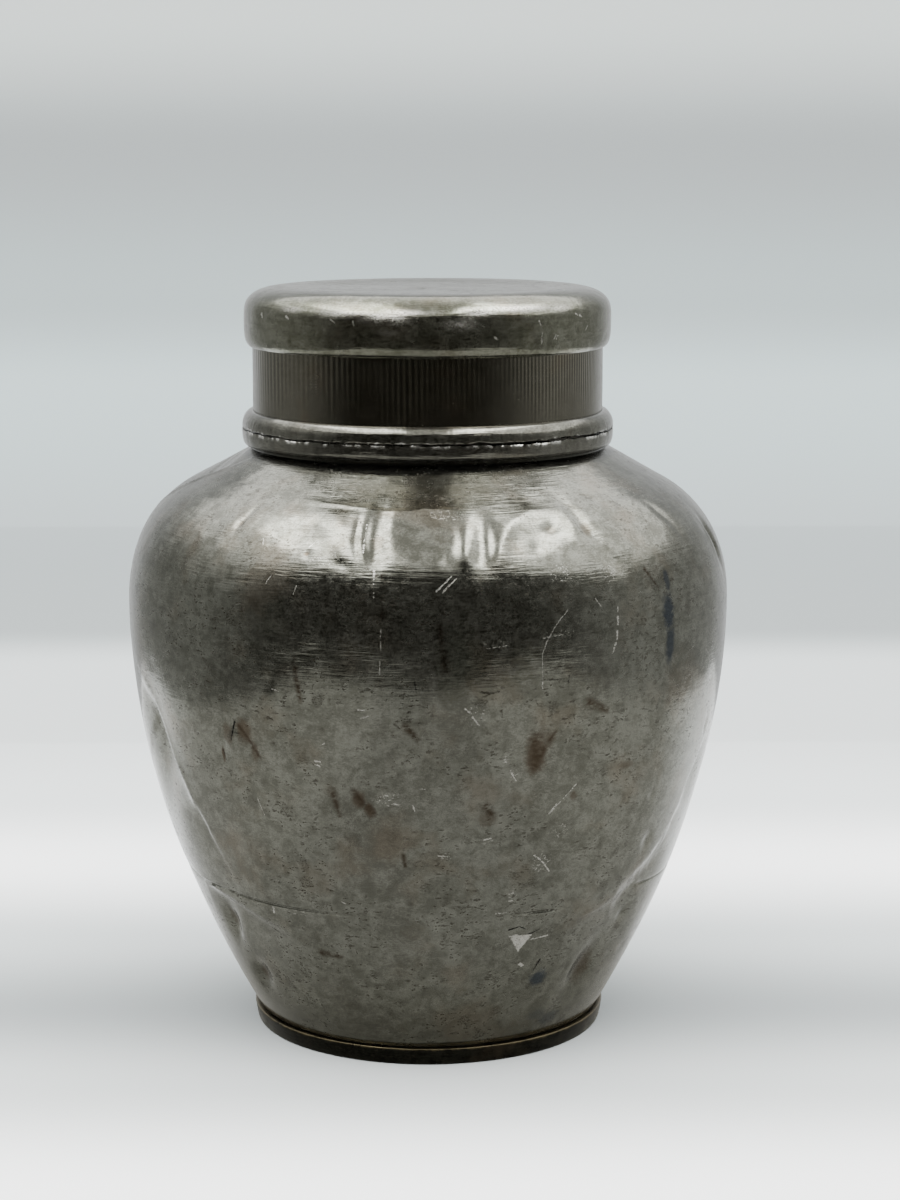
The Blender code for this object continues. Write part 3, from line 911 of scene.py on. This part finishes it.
def make_floor():
    """Round plate, slightly domed."""
    radius = floor_high[0]
    low, high = floor_low[2], floor_high[2]
    across = np.concatenate([np.linspace(0.0, radius, 34), np.linspace(radius, 0.0, 34)])
    down = np.concatenate([np.full(34, low), np.full(34, high)])
    dome = 0.5 * np.cos(across / radius * math.pi / 2) ** 2
    turned("floor_disc", "base_plate", 256, across, down + dome, pewter(
        "floor_disc", dark=(0.06, 0.056, 0.048), light=(0.15, 0.14, 0.125), rough=(0.32, 0.5),
        turning=0.7, brown=0.5), {"arc": across})


# ---------------------------------------------------------------- neck, bead and cap


def make_neck():
    """Cleaner tube that the cap slides over."""
    inner = neck_high[0] - NECK_WALL
    outline = rounded([(inner, neck_low[2]), (neck_high[0], neck_low[2]),
                       (neck_high[0], neck_high[2]), (inner, neck_high[2])], 0.5, 5)
    plain_ring("neck", "neck_tube", outline, 480, pewter(
        "neck", dark=(0.15, 0.142, 0.125), light=(0.30, 0.29, 0.265), rough=(0.2, 0.34),
        turning=1.1, brown=0.2, pitting=0.3), uneven=0.03)


BEAD_SWELL = 2.2
BEAD_CENTRE = bead_high[0] - BEAD_SWELL
BEAD_COLUMNS = 1536
COLLAR_APRON = 0.72


def parting_wave(b):
    """How far the parting line strays, in mm, with the knocked places of the real one."""
    return 0.06 * ragged(b, 31, 6, 60) - 0.30 * bell(degrees_of(b), -44.0, 3.0)


def parting_gape(b):
    """Half width of the crack: thin, and wider towards the right of the front."""
    chips = 0.10 * np.clip(ragged(b, 32, 30, 220) - 0.5, 0.0, 2.0)
    return 0.19 + 0.12 * bell(degrees_of(b), 38.0, 22.0) + chips


def bead_half(name, node, depth, up, inner, material):
    """Collar or cap bead: half an oval, cut by the ragged parting line."""
    bearings = all_round(BEAD_COLUMNS)
    sign = 1.0 if up else -1.0
    edge = parting_wave(bearings) + sign * (parting_gape(bearings) + (
        0.05 * np.clip(ragged(bearings, 33 + up, 40, 260), -1.5, 2.5)))
    burr = 0.09 * np.clip(ragged(bearings, 35 + up, 20, 200), 0.0, 2.5)
    chipped = np.clip(0.9 * ragged(bearings, 39 + up, 5, 50) + 0.8 * ragged(
        bearings, 47 + up, 24, 150) - (0.8 if up else -0.25), 0.0, 1.0)
    uneven = 0.02 * ragged(bearings, 37 + up, 8, 90)
    r, z, arc, bare = [], [], [], []
    for fraction in np.linspace(0.0, 1.0, 15) ** 1.25:
        angle = fraction * math.radians(88)
        base = PARTING_Z + sign * depth * math.sin(angle) ** (1.0 if up else 0.85)
        near = bell(fraction, 0.0, 0.05)
        swell = BEAD_CENTRE + BEAD_SWELL * math.cos(angle) ** (0.9 if up else 0.30)
        r.append(swell + uneven * (1 - fraction) + burr * near
                 - 0.10 * bell(fraction, 0.0, 0.03))
        z.append(base + edge * bell(fraction, 0.0, 0.35))
        arc.append(np.full(BEAD_COLUMNS, sign * depth * 1.3 * fraction))
        bare.append(near * chipped)
    lip = [(inner, z[-1].mean()), (inner, PARTING_Z + sign * 0.2),
           (BEAD_CENTRE + 1.85, PARTING_Z + sign * 0.24)]
    if not up:
        lip = [(BEAD_CENTRE + 1.0, z[-1].mean()), (BEAD_CENTRE + 0.95, collar_low[2]),
               (inner, collar_low[2])] + lip[1:]
    for radius, height in lip:
        r.append(np.full(BEAD_COLUMNS, radius))
        z.append(np.full(BEAD_COLUMNS, height))
        arc.append(np.full(BEAD_COLUMNS, 0.0))
        bare.append(np.zeros(BEAD_COLUMNS))
    if not up:
        r, z, arc, bare = ([rows[0]] + rows[:0:-1] for rows in (r, z, arc, bare))
    turned(name, node, BEAD_COLUMNS, r, z, material, {"arc": arc, "bare": bare})


def make_bead():
    """The two halves of the bead, the lower with a short apron down to the cone."""
    bright = dict(dark=(0.062, 0.061, 0.050), light=(0.180, 0.178, 0.154), rough=(0.06, 0.12),
                  turning=0.35, brown=0.2, wear="bare", bare_colour=(0.85, 0.84, 0.80))
    bead_half("collar_bead", "collar_ring", PARTING_Z - collar_low[2] + COLLAR_APRON, False,
              neck_high[0] + 0.15, pewter("collar_bead", **bright))
    bead_half("cap_edge_bead", "cap_bead", 3.4, True,
              skirt_high[0] + 0.02, pewter("cap_edge_bead", **bright))


SKIRT_COLUMNS = 1900
CHATTER_MARKS = 214
CHATTER_DRIFT = 62


def make_skirt():
    """Straight tube with upright chatter marks that fade towards the bead."""
    outer, inner = skirt_high[0], skirt_high[0] - SKIRT_WALL
    bottom, top = skirt_low[2], skirt_high[2]
    bearings = all_round(SKIRT_COLUMNS)
    phase = CHATTER_MARKS * bearings - CHATTER_DRIFT * np.cos(bearings) + 0.8 * ragged(
        bearings, 41, 3, 30)
    strength = np.clip(0.6 + 0.4 * ragged(bearings, 42, 2, 24), 0.1, 1.2)
    reach = 8.0 + 2.2 * ragged(bearings, 43, 5, 90)
    heights = np.concatenate([[bottom + 0.02], even(bottom + 0.3, top, 0.62)])
    r, z, chatter = [], [], []
    for height in heights:
        fade = 1.0 / (1.0 + np.exp((top_low[2] - height - reach) / 1.3))
        marks = np.cos(phase + 0.03 * (height - bottom)) * strength * fade
        r.append(outer + 0.016 * marks + 0.03 * wave(bearings, height, 45, longest=30.0, reach=7))
        z.append(np.full(SKIRT_COLUMNS, height))
        chatter.append(0.5 + 0.5 * marks)
    for height in (top, bottom + 6.0, bottom + 0.02):
        r.append(np.full(SKIRT_COLUMNS, inner))
        z.append(np.full(SKIRT_COLUMNS, height))
        chatter.append(np.full(SKIRT_COLUMNS, 0.5))
    turned("cap_side", "cap_skirt", SKIRT_COLUMNS, r, z, pewter(
        "cap_side", dark=(0.075, 0.071, 0.055), light=(0.145, 0.138, 0.114), rough=(0.15, 0.24),
        metallic=0.996, turning=0.15, pitting=0.2, mottle=0.7, brown=0.4, ribs="chatter",
        band=(bottom + 2.2, bottom + 0.6, 1.6, (0.100, 0.085, 0.055))),
        {"arc": z, "chatter": chatter})


CAP_EDGE_RADIUS = 35.65
CAP_WIDEST_Z = 144.1
CAP_FLAT_RADIUS = 26.9
CAP_SQUARENESS = 0.7
CAP_DISH = 0.5


def cap_outline():
    """Side, full round rim and slightly dished top, from the lower edge to the axis."""
    widest = top_high[0]
    edge_z, top_z = top_low[2], top_high[2]
    points = [(CAP_EDGE_RADIUS - 0.12, edge_z + 0.02), (CAP_EDGE_RADIUS, edge_z + 0.12)]
    for z in np.linspace(edge_z + 0.3, CAP_WIDEST_Z, 30)[:-1]:
        pull = (CAP_WIDEST_Z - z) / (CAP_WIDEST_Z - edge_z)
        points.append((widest - (widest - CAP_EDGE_RADIUS) * pull ** 5, z))
    for angle in np.linspace(0.0, math.pi / 2, 50):
        across, up = (abs(v) ** CAP_SQUARENESS for v in (math.cos(angle), math.sin(angle)))
        points.append((CAP_FLAT_RADIUS + (widest - CAP_FLAT_RADIUS) * across,
                       CAP_WIDEST_Z + (top_z - CAP_WIDEST_Z) * up))
    for radius in np.linspace(CAP_FLAT_RADIUS, 0.0, 60)[1:]:
        share = np.clip((CAP_FLAT_RADIUS - radius) / 9.0, 0.0, 1.0)
        points.append((radius, top_z - CAP_DISH * (3 * share ** 2 - 2 * share ** 3)))
    return points


cap = Skin(cap_outline())
cap.dent(0, 148.0, 9.0, 2.6, 0.34)
cap.dent(-26, 148.6, 9.0, 2.2, 0.35)
cap.dent(30, 148.8, 9.0, 2.0, 0.30)
cap.dent(-13, 146.8, 3.2, 1.2, 0.16)
cap.dent(14, 146.4, 3.0, 1.3, 0.16)
cap.dent(33, 141.6, 1.2, 1.2, 0.16)
cap.dent(-60, 145.3, 1.2, 1.0, 0.14)
cap.dent(120, 147.5, 7.0, 3.0, 0.5)
cap.dent(-140, 148.0, 9.0, 3.0, 0.4)
cap_draw = np.random.default_rng(17)
for _ in range(60):
    cap.dent(cap_draw.uniform(-180, 180), cap_draw.uniform(139.5, 149.5), cap_draw.uniform(0.7, 3),
             cap_draw.uniform(0.6, 1.6), cap_draw.uniform(0.0, 0.06), cap_draw.uniform(-40, 40))
cap.reliefs.append(lambda b, s: 0.07 * wave(b, s, 6, longest=50.0, reach=3))

CAP_SCRATCHES = [
    (-61.7, 145.5, -61, 144.9, 0.45, 0.3), (-47.6, 145.5, -46.6, 145.1, 0.35, 0.25),
    (35, 145, 35.6, 144.2, 0.2, 0.12), (36.2, 142.8, 36, 140.8, 0.12, 0.16),
    (40.8, 141.4, 41.6, 142.2, 0.12, 0.12), (41.8, 141.4, 42.4, 142.1, 0.1, 0.1),
    (52.6, 145.6, 53.6, 145.2, 0.3, 0.2), (50.6, 145.9, 51.6, 145.6, 0.25, 0.15),
    (56, 142.6, 57.2, 143.4, 0.12, 0.1), (-22.6, 145.2, -22.2, 144.4, 0.14, 0.1),
    (20, 142.2, 21, 141.8, 0.3, 0.2), (-30, 145.4, -28.6, 144.8, 0.2, 0.12),
    (130, 146, 138, 144, 0.2, 0.1), (-120, 147, -112, 145, 0.2, 0.1),
    (175, 143, 180, 145, 0.2, 0.1),
]
CAP_WEAR = [  # bearing, height, half width, half height, strength
    (-9, 145.6, 2.6, 1, 0.9), (9.6, 144.8, 3.2, 1.1, 0.9), (-26, 146.4, 5, 0.7, 0.7),
    (-46, 146.8, 2.6, 0.6, 0.6), (30, 147.4, 7, 0.7, 0.7), (16, 146.8, 2.6, 0.8, 0.7),
    (-16, 145.8, 3.2, 0.9, 0.8), (-12, 143.2, 1.8, 0.6, 0.5), (44, 147.2, 3.2, 0.8, 0.5),
    (-5, 147, 4, 0.6, 0.6), (150, 147, 6, 0.8, 0.7), (-100, 146.6, 6, 0.8, 0.6),
]
CAP_COLUMNS = 620


def make_cap_top():
    """The pan that closes the cap, with its rim worn bright in places."""
    s_outer = np.concatenate([even(0.0, 24.0, 0.34), even(24.6, cap.s[-1], 0.85)])
    s_outer = s_outer[s_outer <= cap.s[-1]]
    r, z, s = skin_rows(cap, s_outer, CAP_COLUMNS)
    r[-1] = np.zeros(CAP_COLUMNS)
    z[-1] = np.full(CAP_COLUMNS, z[-1].mean())
    b = all_round(CAP_COLUMNS)
    wear = []
    for row in s:
        total = np.zeros(CAP_COLUMNS)
        for bearing, height, wide, tall, power in CAP_WEAR:
            u, v = cap.local(bearing, height)(b, row)
            total = np.maximum(total, power * np.exp(-(u / wide) ** 2 - (v / tall) ** 2))
        wear.append(total)
    back = np.concatenate([even(cap.s[-1], 14.0, 2.0), even(13.0, 0.0, 1.0)])
    r_in, z_in, s_in = skin_rows(cap, back, CAP_COLUMNS, CAP_WALL)
    lap = skirt_high[0] + 0.05
    r_in = [np.where(height < skirt_high[2] + 0.3, lap, np.minimum(row, lap + 0.3))
            for row, height in zip(r_in, z_in)]
    z_in = [np.maximum(row, top_low[2] + 0.02) for row in z_in]
    r_in[0] = np.zeros(CAP_COLUMNS)
    z_in[0] = np.full(CAP_COLUMNS, z_in[0].mean())
    turned("cap_pan", "cap_top", CAP_COLUMNS, r_in + r, z_in + z, pewter(
        "cap_pan", dark=(0.088, 0.090, 0.064), light=(0.185, 0.186, 0.152), rough=(0.10, 0.18),
        turning=0.45, mottle=1.7, wear="worn", lines=strokes_on(cap, CAP_SCRATCHES)),
        {"arc": s_in + s, "worn": [np.zeros(CAP_COLUMNS)] * len(r_in) + wear})


# ---------------------------------------------------------------- inner lid


def disc_piece(name, node, outline, columns, material, pitch=0.6):
    """Turned piece closed on the axis, from an open outline that starts and ends there."""
    points = np.array(outline, float)
    lengths = arc_lengths(points)
    s = even(0.0, lengths[-1], pitch)
    s = np.unique(np.concatenate([s, lengths]))
    r = np.interp(s, lengths, points[:, 0])
    z = np.interp(s, lengths, points[:, 1])
    turned(name, node, columns, r, z, material, {"arc": s})


def make_inner_lid():
    """Flat lid with a rim and turned lines, the ring under it, and its button."""
    clean = dict(dark=(0.17, 0.163, 0.145), light=(0.32, 0.31, 0.285), rough=(0.2, 0.34),
                 brown=0.2, pitting=0.35)
    rim = plate_high[0]
    low, high = plate_low[2], plate_high[2]
    plate = [(0.0, low), (rim - 0.25, low), (rim, low + 0.25), (rim, high - 0.3),
             (rim - 0.3, high), (rim - 2.2, high), (rim - 2.6, high - 0.25), (rim - 3.0, high)]
    plate += [(radius, high - 0.12 * (k % 2)) for k, radius in enumerate((18.0, 17.6, 17.2, 9.0))]
    plate += [(8.6, high), (0.0, high)]
    disc_piece("inner_lid_disc", "inner_lid_plate", plate, 360,
               pewter("inner_lid_disc", turning=0.9, **clean))
    outer = plug_high[0]
    plug = rounded([(outer - PLUG_WALL, plug_low[2]), (outer, plug_low[2]), (outer, plug_high[2]),
                    (outer - PLUG_WALL, plug_high[2])], 0.35, 4)
    plain_ring("inner_lid_ring", "inner_lid_plug", plug, 360,
               pewter("inner_lid_ring", turning=0.8, **clean), uneven=0.02)
    bottom, crown = knob_low[2], knob_high[2]
    head = knob_high[0]
    half = 1.3
    middle = crown - half
    knob = [(0.0, bottom), (3.9, bottom), (4.0, bottom + 0.2), (3.7, bottom + 0.55)]
    knob += [(2.5 + 1.2 * (1 - math.sin(a)) ** 1.5, bottom + 0.55 + 1.6 * a / (math.pi / 2))
             for a in np.linspace(0.15, math.pi / 2, 8)]
    for angle in np.linspace(-math.radians(80), math.radians(78), 14):
        knob.append((head - half + half * math.cos(angle), middle + half * math.sin(angle)))
    knob += [(3.2, crown - 0.10), (0.0, crown)]
    disc_piece("inner_lid_button", "inner_lid_knob", knob, 192,
               pewter("inner_lid_button", turning=0.6, **clean), 0.3)


# ---------------------------------------------------------------- studio


ROOM_CENTRE = (0.0, 0.0, 0.09)
ROOM_RADIUS = 2.2
ROOM_FRONT = (0.055, 0.053, 0.042)
ROOM_LEFT = (0.50, 0.51, 0.49)
ROOM_RIGHT = (0.60, 0.61, 0.59)
ROOM_HIGH = (1.65, 1.65, 1.62)
ROOM_BACK = (0.80, 0.82, 0.82)
CEILING = (1.45, 1.45, 1.40)
CEILING_BACK = (3.4, 3.4, 3.35)
CEILING_SIDES = (3.3, 3.3, 3.25)
CEILING_EDGE = (42.5, 45.0)
CEILING_DROP = 9.0
STRIP_GLOW = (13.5, 13.5, 13.3)
STRIPS = [(-0.14, -0.30, -0.58, -0.90), (0.14, 0.28, 0.46, 0.76)]
STRIP_FRONT = (-0.95, -0.45)
STRIP_BACK = (0.75, 0.10)
TABLE_FRONT, TABLE_LEFT, TABLE_FAR = 0.30, 0.24, 0.25
TABLE_GLOW = (0.72, 0.72, 0.69)
TABLE_GLOW_NEAR = (0.46, 0.455, 0.41)
TABLE_GLOW_SIDES = (0.95, 0.95, 0.91)
TABLE_GLOW_BACK = (2.1, 2.15, 2.15)
TABLE_SHADE_REACH = 0.035
DEGREES = 180.0 / math.pi


def room_colour(g, place):
    """What the metal sees: a room dark to the front, pale behind, with two strips of light.

    The strips run front to back overhead. The start and end of their soft edges are distances
    to the side for each metre of height, and those of their ends distances back.
    """
    x, y, z = g.parts(g.vector("NORMALIZE", place))
    turn = g.math("ARCTAN2", x, y * -1.0) * DEGREES
    away = abs(turn)
    rise = g.math("ARCTAN2", z, g.math("SQRT", y * y + x * x * 0.45)) * DEGREES
    height = g.math("ARCSINE", z) * DEGREES
    right = g.mix(g.ramp(turn, 28.0, 95.0), ROOM_FRONT, ROOM_RIGHT)
    left = g.mix(g.ramp(turn, -46.0, -100.0), ROOM_FRONT, ROOM_LEFT)
    wall = g.mix(g.ramp(turn, -1.0, 1.0), left, right)
    wall = g.mix(g.ramp(away, 50.0, 95.0) * g.ramp(height, 10.0, 38.0), wall, ROOM_HIGH)
    wall = g.mix(g.ramp(away, 128.0, 152.0), wall, ROOM_BACK)
    over = g.math("MAXIMUM", z, 0.05)
    across, back = x / over, y / over
    ceiling = g.mix(g.ramp(back, 0.1, 0.6), CEILING, CEILING_BACK)
    ceiling = g.mix(g.ramp(abs(across), 0.38, 0.88), ceiling, CEILING_SIDES)
    within = g.ramp(back, *STRIP_FRONT) * g.ramp(back, *STRIP_BACK)
    for start, full, fading, end in STRIPS:
        strip = g.ramp(across, start, full) * g.ramp(across, end, fading)
        ceiling = g.mix(strip * within, ceiling, STRIP_GLOW)
    drop = g.math("MAXIMUM", g.ramp(turn, 35.0, 80.0, 0.0, CEILING_DROP),
                  g.ramp(away, 105.0, 140.0, 0.0, CEILING_DROP))
    return g.mix(g.ramp(rise + drop, *CEILING_EDGE), wall, ceiling)


def table_colour(g, place):
    """The lit table as the metal sees it, dimmer where the foot shades it."""
    x, y, _ = g.parts(place)
    lit = g.mix(g.ramp(abs(x), 0.045, 0.10), TABLE_GLOW, TABLE_GLOW_SIDES)
    lit = g.mix(g.ramp(y, -0.01, 0.10), lit, TABLE_GLOW_BACK)
    far = g.vector("LENGTH", g.stretch(place, 1.0, 1.0, 0.0), out=1)
    foot = foot_high[0] * MM
    return g.mix(g.ramp(far, foot, foot + TABLE_SHADE_REACH), TABLE_GLOW_NEAR, lit)


def glow_material(name, colour_at):
    """Material that only glows, in the colour that colour_at makes from the place."""
    material, g, _ = new_material(name)
    g.tree.nodes.clear()
    glow = g.value("ShaderNodeEmission", {"Color": colour_at(g, g.place())})
    g.link(glow, g.put("ShaderNodeOutputMaterial", {}).inputs[0])
    return material


def stage_mesh(name, points, faces, material):
    mesh = bpy.data.meshes.new(name)
    mesh.from_pydata(points, [], faces)
    mesh.shade_smooth()
    mesh.materials.append(material)
    thing = new_object(name, mesh)
    return thing


def make_room():
    """Dome, table and the floor round the table, which show up in the metal only."""
    room = glow_material("room", room_colour)
    around, up = 72, 36
    points = []
    for tilt in np.linspace(-math.pi / 2, math.pi / 2, up + 1):
        level, z = ROOM_RADIUS * math.cos(tilt), ROOM_RADIUS * math.sin(tilt)
        points += [(level * math.sin(turn), level * math.cos(turn), z)
                   for turn in np.arange(around) * TAU / around]
    faces = [(row * around + column, row * around + (column + 1) % around,
              (row + 1) * around + (column + 1) % around, (row + 1) * around + column)
             for row in range(up) for column in range(around)]
    dome = stage_mesh("room_dome", points, faces, room)
    wall = ROOM_RADIUS * 0.98
    outer = [(-wall, -wall), (wall, -wall), (wall, wall), (-wall, wall)]
    edge = [(-TABLE_LEFT, -TABLE_FRONT), (TABLE_FAR, -TABLE_FRONT), (TABLE_FAR, TABLE_FAR),
            (-TABLE_LEFT, TABLE_FAR)]
    surround = stage_mesh("table_surround",
                          [(x, y, 0.003 - ROOM_CENTRE[2]) for x, y in outer + edge],
                          [(k, (k + 1) % 4, (k + 1) % 4 + 4, k + 4) for k in range(4)], room)
    top = stage_mesh("table_top", [(x, y, 0.0002 - ROOM_CENTRE[2]) for x, y in edge],
                     [(0, 1, 2, 3)], glow_material("table_top", table_colour))
    for thing in (dome, surround, top):
        thing.location = ROOM_CENTRE
        for kind in ("camera", "diffuse", "shadow", "transmission", "volume_scatter"):
            setattr(thing, f"visible_{kind}", False)


SWEEP_HALF_WIDTH = 2.6
SWEEP_BEND_START, SWEEP_BEND_RADIUS, SWEEP_TOP = 0.62, 0.7, 2.4
SWEEP_ASIDE = (0.36, 0.39, 0.39)
# Painted light and shade on the sweep: lighter and darker bands along its run, one dark band
# across the floor where the object stands.
SWEEP_PAINTED_LIGHT_AND_SHADE = [  # distance back plus height in m, and the paint's colour there
    (-0.1, (0.98, 0.99, 0.985)), (-0.045, (0.52, 0.55, 0.545)), (0, (0.285, 0.308, 0.312)),
    (0.05, (0.48, 0.515, 0.515)), (0.115, (0.98, 0.99, 0.99)), (0.18, (0.6, 0.63, 0.63)),
    (0.27, (0.5, 0.53, 0.528)), (0.37, (0.5, 0.535, 0.535)), (0.44, (0.27, 0.298, 0.3)),
    (0.66, (0.27, 0.305, 0.312)), (0.92, (0.29, 0.352, 0.36)), (1.05, (0.2, 0.238, 0.242)),
    (1.25, (0.155, 0.172, 0.174)), (1.41, (0.3, 0.328, 0.32)),
]


def make_sweep():
    """Pale floor that curves up into a backdrop, with painted bands of light and shade along its
    run.
    """
    start, radius = SWEEP_BEND_START, SWEEP_BEND_RADIUS
    profile = [(y, 0.0) for y in np.linspace(-2.4, start - 0.02, 60)]
    profile += [(start + radius * math.sin(a), radius - radius * math.cos(a))
                for a in np.linspace(0.05, math.pi / 2, 24)]
    profile += [(start + radius, z) for z in np.linspace(radius + 0.1, SWEEP_TOP, 8)]
    points = [(x, y, z) for y, z in profile for x in (-SWEEP_HALF_WIDTH, SWEEP_HALF_WIDTH)]
    faces = [(2 * k, 2 * k + 1, 2 * k + 3, 2 * k + 2) for k in range(len(profile) - 1)]
    material, g, shader = new_material("sweep")
    x, y, z = g.parts(g.place())
    colour = SWEEP_PAINTED_LIGHT_AND_SHADE[0][1]
    # Lay the painted bands of light and shade along the run.
    for (low, _), (high, tone) in zip(SWEEP_PAINTED_LIGHT_AND_SHADE[:-1], SWEEP_PAINTED_LIGHT_AND_SHADE[1:]):
        colour = g.mix(g.ramp(y + z, low, high), colour, tone)
    g.link(g.mix(g.ramp(abs(x), 0.25, 0.75), colour, SWEEP_ASIDE), shader.inputs["Base Color"])
    shader.inputs["Roughness"].default_value = 0.7
    stage_mesh("sweep", points, faces, material).visible_glossy = False


WORLD_STRENGTH = 4.6


def make_world():
    """Even white light from everywhere."""
    world = bpy.data.worlds.new("light")
    bpy.context.scene.world = world
    world.use_nodes = True
    background = world.node_tree.nodes["Background"]
    background.inputs["Color"].default_value = (1.0, 1.0, 1.0, 1.0)
    background.inputs["Strength"].default_value = WORLD_STRENGTH


LAMP_PLACE = (0.0, -0.1, 0.9)
LAMP_AIM = (0.0, 0.0, 0.05)
LAMP_SIZE = 0.9
LAMP_POWER = 4.0


def make_lamp():
    """Large soft lamp overhead, which the metal doesn't mirror."""
    light = bpy.data.lights.new("overhead", "AREA")
    light.shape = "RECTANGLE"
    light.size, light.size_y = LAMP_SIZE, LAMP_SIZE
    light.energy = LAMP_POWER
    lamp = new_object("overhead", light)
    lamp.location = LAMP_PLACE
    heading = Vector(LAMP_AIM) - Vector(LAMP_PLACE)
    lamp.rotation_euler = heading.to_track_quat("-Z", "Y").to_euler()
    lamp.visible_camera = False
    lamp.visible_glossy = False


CAMERA_DISTANCE = 0.5452
CAMERA_HEIGHT = 0.18035
CAMERA_PITCH = 9.78
CAMERA_YAW = -0.47
CAMERA_LENS = 81.66


def make_camera():
    """The photograph's view, worked out from the outline of the real one."""
    camera = bpy.data.cameras.new("camera")
    camera.lens = CAMERA_LENS
    camera.sensor_width = 36.0
    holder = new_object("camera", camera)
    holder.location = (0.0, -CAMERA_DISTANCE, CAMERA_HEIGHT)
    holder.rotation_euler = (math.radians(90 - CAMERA_PITCH), 0.0, math.radians(CAMERA_YAW))
    bpy.context.scene.camera = holder


make_camera()
make_sweep()
make_world()
make_room()
make_lamp()
make_foot()
make_floor()
make_body_shells()
make_neck()
make_bead()
make_skirt()
make_cap_top()
make_inner_lid()
